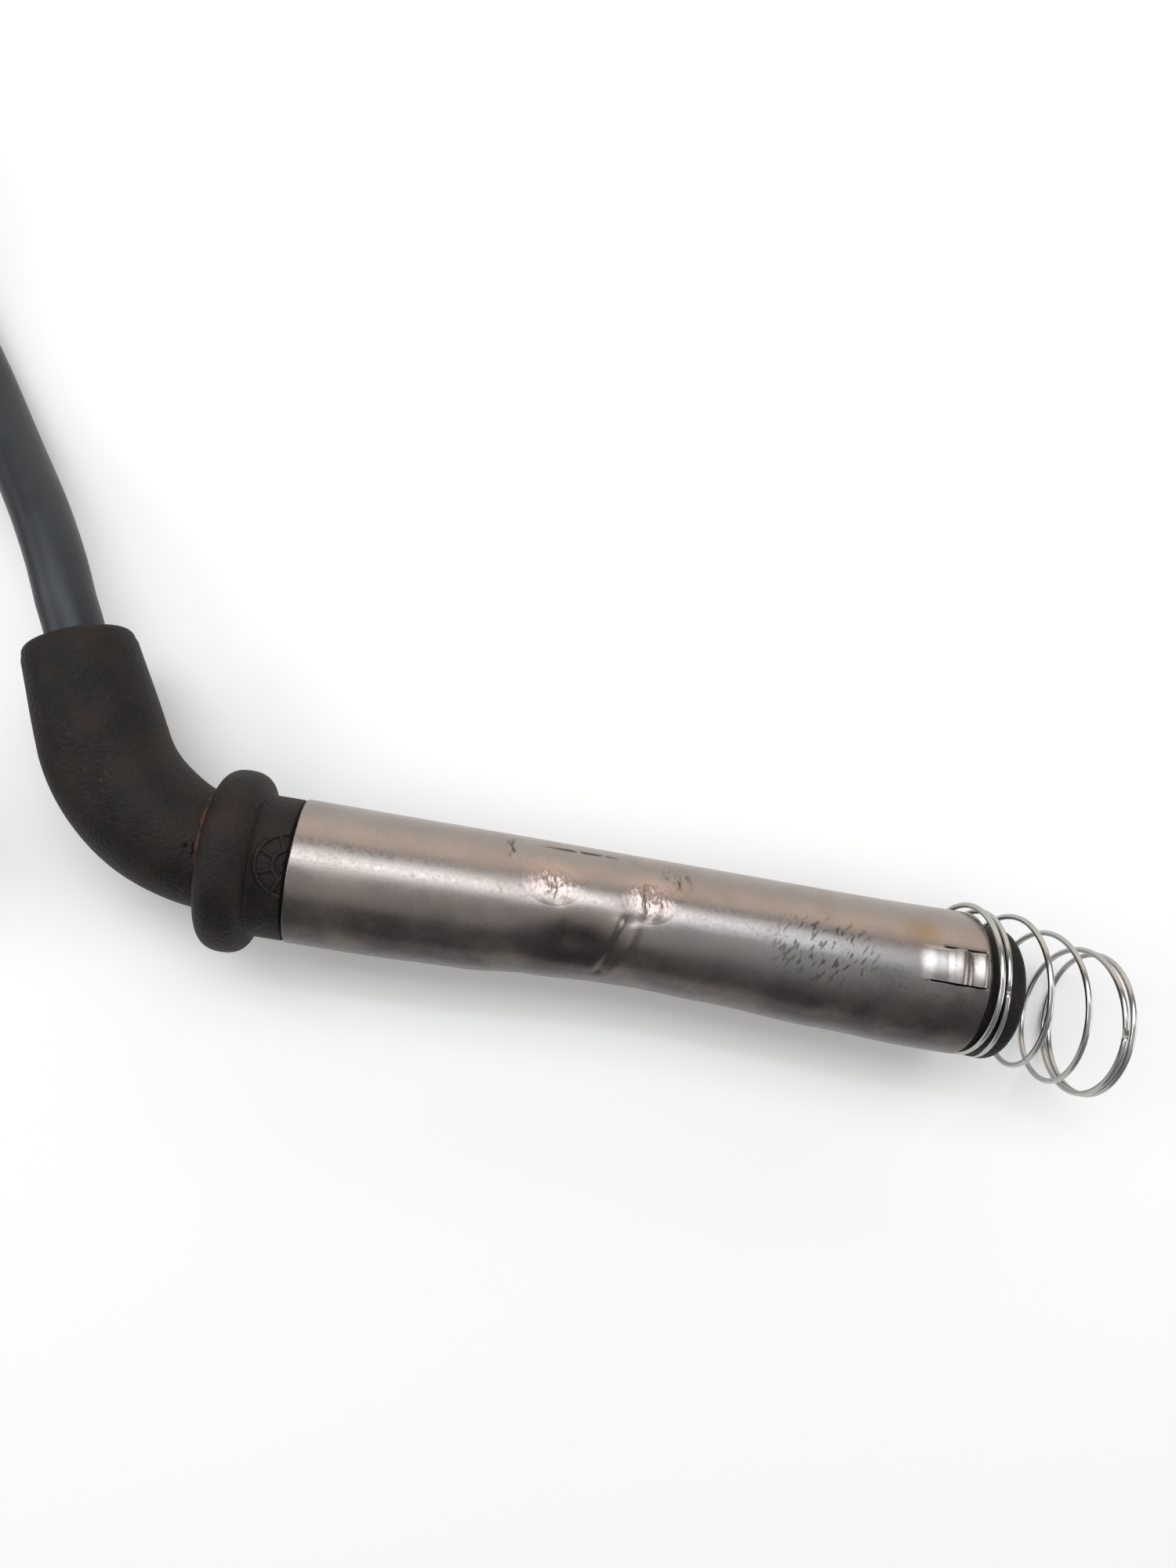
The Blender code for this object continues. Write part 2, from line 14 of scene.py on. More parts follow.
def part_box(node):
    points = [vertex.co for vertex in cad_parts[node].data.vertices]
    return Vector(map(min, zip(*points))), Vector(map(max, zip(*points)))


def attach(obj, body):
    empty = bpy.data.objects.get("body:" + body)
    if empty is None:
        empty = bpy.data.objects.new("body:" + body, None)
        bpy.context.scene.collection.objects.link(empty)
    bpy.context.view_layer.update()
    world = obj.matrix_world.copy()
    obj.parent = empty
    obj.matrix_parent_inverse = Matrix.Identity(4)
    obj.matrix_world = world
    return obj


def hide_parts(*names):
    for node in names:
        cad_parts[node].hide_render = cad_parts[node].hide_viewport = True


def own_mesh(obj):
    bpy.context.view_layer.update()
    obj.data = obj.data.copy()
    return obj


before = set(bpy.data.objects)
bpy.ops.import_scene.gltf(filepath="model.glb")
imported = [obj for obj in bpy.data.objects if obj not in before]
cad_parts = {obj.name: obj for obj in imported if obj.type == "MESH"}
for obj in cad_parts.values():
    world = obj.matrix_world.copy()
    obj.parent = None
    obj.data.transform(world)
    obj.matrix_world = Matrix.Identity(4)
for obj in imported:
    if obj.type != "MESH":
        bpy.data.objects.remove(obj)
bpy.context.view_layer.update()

# %% [markdown]
# The shield's axis is the natural ruler of this object, because most pieces are turned about it. Shapes
# could be given in the room's metres, but they are easier to read in millimetres along and around that
# axis, and one matrix then puts them in the room.

# %% The shield's axis as a frame of reference
MM = 0.001
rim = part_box("heat_shield")[0].x
terminal_low, terminal_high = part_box("plug_terminal")
axis_y = (terminal_low.y + terminal_high.y) / 2
axis_z = (terminal_low.z + terminal_high.z) / 2
SHIELD_LENGTH = (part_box("heat_shield")[1].x - rim) / MM
BOOT_END = (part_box("plug_boot")[1].x - rim) / MM
TO_ROOM = Matrix.Translation((rim, axis_y, axis_z)) @ Matrix.Scale(MM, 4)
print(f"shield {SHIELD_LENGTH:.1f} mm long, boot ends {BOOT_END:.1f} mm from its rim")

# %% [markdown]
# Every finish is a tree of shader nodes. It could be wired by hand in the Shader Editor. Here one small
# function adds a node with its settings and links, so that a finish reads as a recipe. Colours are given
# as the usual hex values, and one function turns them to the linear light that Blender works in.


# %% Colours and shader nodes
def srgb(code):
    """An sRGB hex colour such as #2a2523 as linear values."""
    channels = [int(code[i : i + 2], 16) / 255 for i in (1, 3, 5)]
    return (*[c / 12.92 if c <= 0.04045 else ((c + 0.055) / 1.055) ** 2.4 for c in channels], 1.0)


def add(tree, kind, inputs=(), output=0, **settings):
    """Adds a shader node and gives back one of its outputs. Inputs are values, or outputs to link."""
    node = tree.nodes.new(f"ShaderNode{kind}")
    for name, value in settings.items():
        setattr(node, name, value)
    for name, value in inputs.items() if isinstance(inputs, dict) else enumerate(inputs):
        if isinstance(value, bpy.types.NodeSocket):
            tree.links.new(value, node.inputs[name])
        else:
            node.inputs[name].default_value = value
    return node.outputs[output] if node.outputs else None


def new_material(name):
    """A material with an empty tree, and the position on the object in millimetres."""
    material = bpy.data.materials.new(name)
    material.use_nodes = True
    tree = material.node_tree
    tree.nodes.clear()
    place = add(tree, "TexCoord", output="Object")
    millimetres = add(tree, "Mapping", {"Vector": place, "Scale": (1 / MM, 1 / MM, 1 / MM)})
    print(f"finish: {name}")
    return material, tree, millimetres


# %% [markdown]
# Two patterns serve the finishes. Grain is noise whose blotches have a size in millimetres, so it can be
# set from the real surface. A spot is a soft-edged patch at one place on the shield, for a stain or a rub
# mark. Both read the position on the piece itself, so they stay put when the piece moves.


# %% Patterns
def grain(tree, where, size_mm, detail=3.0, roughness=0.55, stretch=(1, 1, 1)):
    """Noise whose blotches are about size_mm across, drawn out along an axis by stretch."""
    placed = add(tree, "Mapping", {"Vector": where, "Scale": [1 / (size_mm * s) for s in stretch]})
    settings = {"Vector": placed, "Scale": 1.0, "Detail": detail, "Roughness": roughness}
    return add(tree, "TexNoise", settings)


def spot(tree, where, middle, reach, core=0.4):
    """One at a place on the shield's frame, in millimetres, and nought beyond its reach along x, y, z."""
    home = (rim / MM, axis_y / MM, axis_z / MM)
    shift = [-(h + m) / r for h, m, r in zip(home, middle, reach)]
    scale = [1 / r for r in reach]
    placed = add(tree, "Mapping", {"Vector": where, "Location": shift, "Scale": scale})
    away = add(tree, "VectorMath", (placed,), "Value", operation="LENGTH")
    return add(tree, "MapRange", (away, core, 1.0, 1.0, 0.0))


# %% [markdown]
# Most pieces here are round in section, so one tool makes them: a closed ring of edges is extruded again
# and again, and each new ring is carried to its next place, turned across the path and scaled to its new
# radius. Spin could turn the straight pieces, but not the elbow, the cable or the spring.


# %% Sweeping rings into a surface
def ring_frame(centre, along, radius, up=Vector((0, 0, 1))):
    """The frame of a ring: its centre, its two radii and the direction that it faces."""
    along = Vector(along).normalized()
    side = along.cross(up).normalized()
    over = side.cross(along).normalized()
    frame_matrix = Matrix.Identity(4)
    for column, vector in enumerate((side * radius, over * radius, along * radius, Vector(centre))):
        for row in range(3):
            frame_matrix[row][column] = vector[row]
    return frame_matrix


def sweep(rings, sides, ends="capped"):
    """A surface through ring frames. ends is capped, open, or joined, from the last ring to the first."""
    shape = bmesh.new()
    bmesh.ops.create_circle(shape, cap_ends=False, segments=sides, radius=1.0, matrix=rings[0])
    first = shape.edges[:]
    edges, old = first, rings[0]
    for new in rings[1:]:
        grown = bmesh.ops.extrude_edge_only(shape, edges=edges)["geom"]
        corners = {g for g in grown if isinstance(g, bmesh.types.BMVert)}
        edges = [g for g in grown if isinstance(g, bmesh.types.BMEdge) and set(g.verts) <= corners]
        bmesh.ops.transform(shape, matrix=new @ old.inverted(), verts=list(corners))
        old = new
    if ends == "joined":
        bmesh.ops.bridge_loops(shape, edges=first + edges)
    elif ends == "capped":
        bmesh.ops.edgeloop_fill(shape, edges=first)
        bmesh.ops.edgeloop_fill(shape, edges=edges)
    bmesh.ops.recalc_face_normals(shape, faces=shape.faces)
    return shape


def finished(name, shape, material, body, cad_node, smooth=True, to_room=TO_ROOM):
    """The shape as an object in its place, riding on its body and standing for its CAD node."""
    bmesh.ops.transform(shape, matrix=to_room, verts=shape.verts)
    mesh = bpy.data.meshes.new(name)
    shape.to_mesh(mesh)
    shape.free()
    mesh.materials.append(material)
    mesh.polygons.foreach_set("use_smooth", [smooth] * len(mesh.polygons))
    piece = bpy.data.objects.new(name, mesh)
    bpy.context.scene.collection.objects.link(piece)
    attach(piece, body)
    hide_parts(cad_node)
    print(f"{name}: {len(mesh.polygons)} faces")
    return piece


# %% [markdown]
# ## Camera, floor and lights
# The camera stands above the object and looks almost straight down, a little turned. The floor is a plain
# pale sheet. A long softbox on the side that the elbow bends to, with a narrow strip at its middle, draws
# one bright line along the shield. A warm one beyond it lights the shield's flank, a dim square one
# overhead fills in the rest, and one off each end lifts the floor and the spring without being mirrored
# in the tube. A single lamp would be simpler, but bare metal shows mainly what it mirrors, so it needs
# broad lights.

# %% Camera
camera_data = bpy.data.cameras.new("camera")
camera_data.lens = 23.4
camera_data.sensor_width = 36.0
camera_data.shift_x = 0.05
camera_data.shift_y = 0.05
camera_data.clip_start = 0.01
camera = bpy.data.objects.new("camera", camera_data)
bpy.context.scene.collection.objects.link(camera)
bpy.context.scene.camera = camera
# The directions to the camera's right and up, and its eye in millimetres on the shield's frame.
right = Vector((0.98520, 0.16461, 0.04778))
upward = Vector((-0.16442, 0.98636, -0.00797))
backward = right.cross(upward)
turned = Matrix((right, upward, backward)).transposed().to_4x4()
eye = TO_ROOM @ Vector((21.78, 5.98, 142.28))
camera.matrix_world = Matrix.Translation(eye) @ turned
print("camera at", [round(c, 4) for c in eye])

# %% Floor
FLOOR_HALF = 1.5
FLOOR_DROP = 0.0002  # keeps the floor's face clear of the faces that lie on it
floor_shape = bmesh.new()
bmesh.ops.create_grid(floor_shape, x_segments=1, y_segments=1, size=FLOOR_HALF)
floor_mesh = bpy.data.meshes.new("floor")
floor_shape.to_mesh(floor_mesh)
floor_shape.free()
floor = bpy.data.objects.new("floor", floor_mesh)
floor.location.z = -FLOOR_DROP
bpy.context.scene.collection.objects.link(floor)
# Matt paper has no gloss, so it shows nothing but a soft shadow.
paper, tree, where = new_material("matt_paper")
shader = add(tree, "BsdfPrincipled", {"Base Color": srgb("#faf7f2"), "Roughness": 0.9})
add(tree, "OutputMaterial", {"Surface": shader})
floor_mesh.materials.append(paper)
print(f"floor {2 * FLOOR_HALF:.0f} m square")


# %% Lights
def softbox(name, place, aim, size, power, colour="#ffffff"):
    """A rectangular area light at a place, aimed at a point; both are in millimetres."""
    data = bpy.data.lights.new(name, "AREA")
    data.shape = "RECTANGLE"
    data.size, data.size_y = (s * MM for s in size)
    data.energy = power
    data.color = srgb(colour)[:3]
    light = bpy.data.objects.new(name, data)
    bpy.context.scene.collection.objects.link(light)
    start, end = Vector(place) * MM, Vector(aim) * MM
    facing = (end - start).to_track_quat("-Z", "Y").to_matrix().to_4x4()
    light.matrix_world = Matrix.Translation(start) @ facing
    print(f"{name}: {power} W")


softbox("key_softbox", (-150, 275, 560), (-150, 0, 0), (900, 320), 2.6, "#ecf4ff")
softbox("key_strip", (-140, 262, 540), (-140, 0, 0), (520, 40), 0.42, "#eef6ff")
softbox("side_softbox", (0, 650, 190), (0, 0, 0), (1300, 420), 1.9, "#fff0e2")
softbox("elbow_end_softbox", (-620, 0, 330), (0, 0, 0), (400, 400), 1.3)
softbox("spring_end_softbox", (660, 0, 330), (0, 0, 0), (400, 400), 1.3)
softbox("overhead_softbox", (-60, -160, 640), (0, 0, 0), (600, 600), 0.58)
world = bpy.data.worlds.new("studio")
bpy.context.scene.world = world
world.use_nodes = True
world.node_tree.nodes["Background"].inputs["Color"].default_value = srgb("#e9ecf0")
world.node_tree.nodes["Background"].inputs["Strength"].default_value = 0.34
bpy.context.scene.view_settings.view_transform = "Standard"
print(f"world light {world.node_tree.nodes['Background'].inputs['Strength'].default_value:.2f}")

# %% [markdown]
# ## Finishes
# The boot is moulded silicone rubber: near black with a brown cast, matt, with a fine orange-peel grain
# from the mould. Dust that has settled in it shows as pale rusty specks, and it gathers in the crease
# behind the collar. A flat black would look like a hole, so patches, grain and dust break it up.


# %% Moulded rubber
CREASE_X = -11.9  # where the elbow meets the collar


def crease_dust(tree, where):
    """A thin rusty line of dust in the crease behind the collar, on the side that the elbow bends to."""
    along = add(tree, "SeparateXYZ", (where,), "X")
    sideways = add(tree, "SeparateXYZ", (where,), "Y")
    from_crease = add(tree, "Math", (along, rim / MM + CREASE_X), operation="SUBTRACT")
    distance = add(tree, "Math", (from_crease,), operation="ABSOLUTE")
    line = add(tree, "MapRange", (distance, 0.2, 0.7, 1.0, 0.0))
    inner_side = add(tree, "MapRange", (sideways, axis_y / MM - 2.0, axis_y / MM + 1.5))
    line = add(tree, "Math", (line, inner_side), operation="MULTIPLY")
    broken = add(tree, "MapRange", (grain(tree, where, 1.6, 3.0), 0.4, 0.6))
    return add(tree, "Math", (line, broken), operation="MULTIPLY")


def moulded_rubber(name, dusty=0.0):
    """Rubber with a little dust in its grain. A dusty one has more, and a line of it in the crease."""
    material, tree, where = new_material(name)
    patches = grain(tree, where, 6.0, 4.0)
    brown = add(tree, "MapRange", (patches, 0.35, 0.7))
    colour = add(tree, "Mix", {0: brown, 6: srgb("#131110"), 7: srgb("#2b211b")}, 2, data_type="RGBA")
    rust = add(tree, "MapRange", (grain(tree, where, 0.9, 4.0, 0.7), 0.62, 0.74))
    settled = add(tree, "MapRange", (grain(tree, where, 9.0, 2.0), 0.48, 0.66))
    dust = add(tree, "Math", (rust, settled), operation="MULTIPLY")
    dust = add(tree, "Math", (dust, 0.25 + dusty), operation="MULTIPLY")
    if dusty:
        dust = add(tree, "Math", (dust, crease_dust(tree, where)), operation="MAXIMUM")
    colour = add(tree, "Mix", {0: dust, 6: colour, 7: srgb("#6a4431")}, 2, data_type="RGBA")
    peel = grain(tree, where, 0.55, 2.0)  # the real grain is half as coarse, and would not show
    waves = add(tree, "Bump", {"Height": patches, "Distance": 0.15 * MM, "Strength": 0.4})
    skin = {"Height": peel, "Distance": 0.3 * MM, "Strength": 0.8, "Normal": waves}
    looks = {
        "Base Color": colour,
        "Roughness": add(tree, "MapRange", (patches, 0.3, 0.75, 0.52, 0.68)),
        "IOR": 1.42,
        "Specular IOR Level": 0.24,
        "Normal": add(tree, "Bump", skin),
    }
    add(tree, "OutputMaterial", {"Surface": add(tree, "BsdfPrincipled", looks)})
    return material


rubber = moulded_rubber("moulded_silicone_rubber", 0.35)
end_rubber = moulded_rubber("moulded_rubber_coil_end")

# %% [markdown]
# The shield is thin drawn aluminium. The drawing die leaves faint lines along the tube, use leaves scuffs
# across it, and heat and oil leave warm stains. The side away from the elbow's bend is painted darker,
# mostly as painted shade and partly as a brown oil stain, and less so towards the mouth, where the top is
# painted lighter as a painted highlight. All this could be painted on an image, but layers that are worked
# out from patterns stay sharp at any distance and need no file. Each layer is a tone and its share.

# %% Drawn aluminium, the layers all over the tube
aluminium, tree, where = new_material("drawn_aluminium_tube")
# Real die lines are a tenth as wide. They are drawn as coarse as they need to be to show.
die_lines = grain(tree, where, 0.35, 3.0, 0.6, (40, 1, 1))
clouds = grain(tree, where, 7.0, 5.0, 0.6)
specks = grain(tree, where, 0.5, 4.0, 0.7)
wavering = add(tree, "MapRange", (clouds, 0.2, 0.8, -3.0, 3.0))
sideways = add(tree, "SeparateXYZ", (where,), "Y")
across = add(tree, "Math", (sideways, wavering), operation="ADD")
# Painted shade: the side away from the elbow's bend goes darker, mostly painted shade and partly a brown
# oil stain.
painted_side_shade = add(tree, "MapRange", (across, axis_y / MM - 9.0, axis_y / MM + 4.0, 1.0, 0.0))
# Painted highlight: a lighter patch on the top towards the mouth, along the bright line.
painted_highlight_patch = spot(tree, where, (70.0, 0.0, 10.0), (26.0, 5.0, 8.0), 0.3)
painted_highlight_share = add(tree, "Math", (painted_highlight_patch, 0.6), operation="MULTIPLY")
warmed = add(tree, "MapRange", (clouds, 0.45, 0.75, 0.0, 0.35))
pitted = add(tree, "MapRange", (specks, 0.6, 0.76, 0.0, 0.45))
layers = [(painted_side_shade, "#47413f"), (painted_highlight_share, "#989897"), (warmed, "#85786d"), (pitted, "#5d534c")]
print(f"{len(layers)} layers over the bare metal")

# %% Drawn aluminium, the marks of plier jaws and hands, painted shade in a hollow and painted highlights on the tab
# Painted shade: clouds break up the dark that is painted into the pinched hollow.
painted_hollow_shade = add(tree, "MapRange", (clouds, 0.3, 0.6, 0.3, 0.8))
scraped = add(tree, "MapRange", (specks, 0.35, 0.6, 0.3, 0.9))
TOOTH_ROWS = (0.0, 0.0, math.radians(28))
tooth_rows = add(tree, "Mapping", {"Vector": where, "Rotation": TOOTH_ROWS})
teeth = add(tree, "MapRange", (grain(tree, tooth_rows, 0.45, 1.0, 0.4, (1, 3.2, 3)), 0.57, 0.64))
smears = add(tree, "MapRange", (grain(tree, where, 0.9, 4.0, 0.7, (1, 2.5, 2)), 0.5, 0.62))
broken = add(tree, "MapRange", (grain(tree, where, 1.2, 3.0), 0.35, 0.5))
BITES = [((34.5, 5.0, 8.5), (4.4, 3.8, 4.0)), ((47.6, 5.2, 8.5), (4.2, 4.4, 4.0))]
marks = [
    # middle x, y, z; reach along x, y, z; core; pattern; share; tone
    # painted shade in the pinched hollow left of the crease
    ((38.5, -3.6, 8.5), (8.5, 5.0, 6.0), 0.4, painted_hollow_shade, 1.0, "#332d2b"),
    (*BITES[0], 0.4, scraped, 1.0, "#b09a90"),
    (*BITES[1], 0.4, scraped, 1.0, "#b09a90"),
    ((71.5, 1.6, 9.5), (9.5, 5.6, 6.0), 0.5, teeth, 0.65, "#3b332f"),
    ((28.6, 8.2, 6.0), (1.6, 2.6, 4.0), 0.4, smears, 0.8, "#4a3c34"),
    ((51.0, 7.6, 6.5), (2.6, 3.4, 4.0), 0.4, smears, 0.8, "#4a3c34"),
    ((38.0, 8.9, 4.5), (6.5, 0.22, 3.0), 0.5, broken, 1.0, "#3d342f"),
    # painted highlights on the tab's raised start and on its tip
    ((86.8, 2.6, 9.6), (3.0, 2.1, 3.0), 0.1, 1.0, 0.7, "#d3cdc7"),
    ((92.7, 2.6, 9.8), (1.0, 2.3, 3.0), 0.1, 1.0, 0.7, "#d3cdc7"),
    ((85.0, 6.2, 8.0), (3.6, 2.6, 4.0), 0.1, 1.0, 0.5, "#8a7040"),
]
for middle, reach, patch_core, pattern, share, tone in marks:
    patch = spot(tree, where, middle, reach, patch_core)
    patch = add(tree, "Math", (patch, pattern), operation="MULTIPLY")
    layers.append((add(tree, "Math", (patch, share), operation="MULTIPLY"), tone))
print(f"{len(marks)} marks, {len(layers)} layers in all")

# %% Drawn aluminium, its colour, gloss and relief
colour = srgb("#978d86")
for share, tone in layers:
    colour = add(tree, "Mix", {0: share, 6: colour, 7: srgb(tone)}, 2, data_type="RGBA")
hazy = add(tree, "MapRange", (clouds, 0.3, 0.7, 0.21, 0.33))
rougher = add(tree, "MapRange", (specks, 0.4, 0.7, 0.0, 0.12))
bites = [spot(tree, where, middle, reach) for middle, reach in BITES]
bitten = add(tree, "Math", bites, operation="MAXIMUM")
torn = add(tree, "Math", (bitten, grain(tree, where, 1.1, 2.0, 0.6, (1, 2.4, 2.4))), operation="MULTIPLY")
relief = {"Height": torn, "Distance": 0.45 * MM, "Strength": 0.9}
for pattern, depth_mm, strength in ((specks, 0.015, 0.4), (die_lines, 0.01, 0.5)):
    below = add(tree, "Bump", relief)
    relief = {"Height": pattern, "Distance": depth_mm * MM, "Strength": strength, "Normal": below}
looks = {
    "Base Color": colour,
    "Metallic": 1.0,
    "Roughness": add(tree, "Math", (hazy, rougher), operation="ADD"),
    "Normal": add(tree, "Bump", relief),
}
add(tree, "OutputMaterial", {"Surface": add(tree, "BsdfPrincipled", looks)})
print(f"{len(tree.nodes)} nodes")

# %% [markdown]
# The ground spring is cold-drawn wire, bright and hard, so it gives thin clear highlights. A touch of
# brown oxide sits on it in places. One clean metal would do from afar, but up close the oxide keeps it
# from looking like chrome.

# %% Spring wire
wire, tree, where = new_material("cold_drawn_spring_wire")
oxide = add(tree, "MapRange", (grain(tree, where, 2.2, 4.0, 0.7), 0.63, 0.76, 0.0, 0.7))
looks = {
    "Base Color": add(
        tree, "Mix", {0: oxide, 6: srgb("#b0aeaa"), 7: srgb("#6b5340")}, 2, data_type="RGBA"
    ),
    "Metallic": 1.0,
    "Roughness": add(tree, "MapRange", (oxide, 0.0, 0.7, 0.2, 0.5)),
}
add(tree, "OutputMaterial", {"Surface": add(tree, "BsdfPrincipled", looks)})

# %% [markdown]
# The cable's jacket is extruded, so it is smoother than the boot: a satin blue-black with a soft
# highlight along it, a little hazy where it has been handled.

# %% Cable jacket
jacket, tree, where = new_material("extruded_cable_jacket")
haze = grain(tree, where, 5.0, 3.0)
hazed = add(tree, "MapRange", (haze, 0.3, 0.7))
skin = {"Height": grain(tree, where, 0.4, 2.0), "Distance": 0.03 * MM, "Strength": 0.35}
looks = {
    "Base Color": add(
        tree, "Mix", {0: hazed, 6: srgb("#12171b"), 7: srgb("#1b2126")}, 2, data_type="RGBA"
    ),
    "Roughness": add(tree, "MapRange", (haze, 0.3, 0.7, 0.36, 0.5)),
    "IOR": 1.45,
    "Normal": add(tree, "Bump", skin),
}
add(tree, "OutputMaterial", {"Surface": add(tree, "BsdfPrincipled", looks)})

# %% [markdown]
# The pieces inside the boots are hardly seen, and the ties are small. They share one plain recipe, two
# close tones that waver into each other, because a finish of their own would hardly show.


# %% Insulation, core, terminal and tie
def plain_finish(name, first, second, size_mm, roughness, metallic=0.0):
    """A finish whose colour and height waver a little between two tones."""
    material, tree, where = new_material(name)
    waver = grain(tree, where, size_mm, 3.0)
    share = add(tree, "MapRange", (waver, 0.3, 0.7))
    looks = {
        "Base Color": add(tree, "Mix", {0: share, 6: srgb(first), 7: srgb(second)}, 2, data_type="RGBA"),
        "Roughness": add(tree, "MapRange", (waver, 0.3, 0.7, roughness - 0.06, roughness + 0.08)),
        "Metallic": metallic,
        "Normal": add(tree, "Bump", {"Height": waver, "Distance": 0.02 * MM, "Strength": 0.4}),
    }
    add(tree, "OutputMaterial", {"Surface": add(tree, "BsdfPrincipled", looks)})
    return material


# Extruded silicone is pale, chalky and matt.
insulation = plain_finish("silicone_insulation", "#c9c1b0", "#b4ab99", 1.2, 0.55)
# Braided carbon fibre drinks light and has hardly any gloss.
core = plain_finish("carbon_fibre_core", "#1b1a19", "#2c2a28", 0.4, 0.7)
# Tinned steel sheet is pale, warm and half bright.
tinned = plain_finish("tinned_steel_sheet", "#c4c0b4", "#a8a398", 2.0, 0.28, 1.0)
# Moulded nylon is black with a soft sheen.
nylon = plain_finish("moulded_nylon_tie", "#161617", "#1f1f21", 1.0, 0.45)

# %% [markdown]
# ## The lead
# The cable is the softest piece, so its route comes before the hard pieces. It leaves the cuff, comes
# down to the floor, and is wound into a small coil. From the coil's upper turn it runs out to the
# coil-end boot. A handful of points along the way could be placed by eye, but the coil's turns are true
# circles, so these are worked out, and only the run down to the floor is given point by point.


# %% Where the cable leaves the boot
def smooth_step(x, low, high):
    """Nought at low, one at high, and a smooth rise between."""
    share = max(0.0, min(1.0, (x - low) / (high - low)))
    return share * share * (3 - 2 * share)


CABLE_R = 4.0
ELBOW_TURN = math.radians(66)
CORNER_X = -23.0  # where the shield's axis and the cuff's axis cross
CUFF_REACH = 28.8  # from there to the cuff's end
CABLE_SHOWS = 0.3  # the free cable starts this far outside the cuff
cuff_heading = Vector((-math.cos(ELBOW_TURN), math.sin(ELBOW_TURN), 0))
cuff_end = Vector((CORNER_X, 0, 0)) + cuff_heading * CUFF_REACH
exit_point = TO_ROOM @ (cuff_end + cuff_heading * CABLE_SHOWS)
print("the cable leaves the boot at", [round(c, 4) for c in exit_point])

# %% The run down, the coil's turns and the tail, in millimetres in the room
lead_route = [
    (-75.0, 24.0, 12.4),
    (-77.3, 28.8, 11.6),
    (-80.1, 33.6, 10.3),
    (-82.8, 37.7, 9.0),
    (-85.4, 41.3, 7.7),
    (-88.1, 45.0, 6.5),
    (-91.1, 49.3, 5.3),
    (-95.2, 55.4, 4.4),
    (-98.6, 60.3, 4.5),
    (-102.2, 65.5, 5.0),
]
ring_low, ring_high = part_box("lead_coil")
ring_centre = (ring_low + ring_high) / 2 / MM
ring_radius = (ring_high.x - ring_low.x) / 2 / MM - CABLE_R
lower_z, upper_z = ring_low.z / MM + CABLE_R, ring_high.z / MM - CABLE_R
JOINS_AT, LEAVES_AT = math.radians(34.8), math.radians(360 + 240)
CLIMB_FROM, CLIMB_TO = JOINS_AT + 3.3, JOINS_AT + 6.6  # where the second turn climbs onto the first
STEPS = 40
turn_points = []
for i in range(STEPS + 1):
    angle = JOINS_AT + (LEAVES_AT - JOINS_AT) * i / STEPS
    z = lower_z + (upper_z - lower_z) * smooth_step(angle, CLIMB_FROM, CLIMB_TO)
    x = ring_centre.x + ring_radius * math.cos(angle)
    y = ring_centre.y + ring_radius * math.sin(angle)
    turn_points.append((x, y, z))
tail_heading = Vector((-math.sin(LEAVES_AT), math.cos(LEAVES_AT), 0))
TAIL_DROP = [(8, 0.1), (14, 0.5), (20, 1.3), (25, 2.5), (29, 3.7), (33, 4.4)]  # distance, drop
coil_boot_at = Vector((-139.6, 8.0, 8.6))
leave = Vector(turn_points[-1])
tail_points = [tuple(leave + tail_heading * d - Vector((0, 0, drop))) for d, drop in TAIL_DROP]
tail_points.append(tuple(coil_boot_at - tail_heading * CABLE_SHOWS))
route = [exit_point / MM, exit_point / MM + cuff_heading * 2.5]
route += [Vector(p) for p in lead_route + turn_points + tail_points]
print(f"{len(route)} points on the route, round a coil of {2 * ring_radius:.0f} mm")


# %% Smoothing the route
def smooth_run(points, step):
    """Points along a Catmull-Rom curve through the route's own points."""
    ends = [2 * points[0] - points[1], *points, 2 * points[-1] - points[-2]]
    run = []
    for i in range(1, len(ends) - 2):
        a, b, c, d = ends[i - 1 : i + 3]
        count = max(1, round((c - b).length / step))
        for k in range(count):
            t = k / count
            bend = (2 * a - 5 * b + 4 * c - d) * t * t + (3 * b - a - 3 * c + d) * t**3
            run.append((2 * b + (c - a) * t + bend) / 2)
    return [*run, points[-1]]


STEP_MM = 2.5
cable_line = [p * MM for p in smooth_run(route, STEP_MM)]

# %% [markdown]
# The cable itself is a curve with a round bevel, which is how Blender makes any pipe that bends. A swept
# mesh would look the same, but a curve keeps its middle line, from which the cable's length and bends can
# be measured.

# %% The cable
cable_curve = bpy.data.curves.new("ignition_cable", "CURVE")
cable_curve.dimensions = "3D"
cable_curve.bevel_depth = CABLE_R * MM
cable_curve.bevel_resolution = 10
cable_curve.use_fill_caps = True
spline = cable_curve.splines.new("POLY")
spline.points.add(len(cable_line) - 1)
for point, place in zip(spline.points, cable_line):
    point.co = (*place, 1.0)
spline.use_smooth = True
cable_curve.materials.append(jacket)
cable = bpy.data.objects.new("ignition_cable", cable_curve)
bpy.context.scene.collection.objects.link(cable)
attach(cable, "boot")
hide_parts("lead_cable", "lead_coil", "lead_tail")

# %% [markdown]
# ## Dents
# Pliers have bitten the shield on the side away from the elbow's bend. It is pinched over a third of its
# length, with broad hollows, sharp raised edges where the jaws bit, and one crease across it. Such dents
# could be sculpted by hand. Here they are described once as a small push at each place, because the
# shield and the rubber inside are dented together.


# %% The shield's dented shape
def between(x, knots):
    """A value read smoothly from (x, value) knots."""
    if x <= knots[0][0]:
        return knots[0][1]
    for (x0, v0), (x1, v1) in zip(knots, knots[1:]):
        if x <= x1:
            return v0 + (v1 - v0) * smooth_step(x, x0, x1)
    return knots[-1][1]


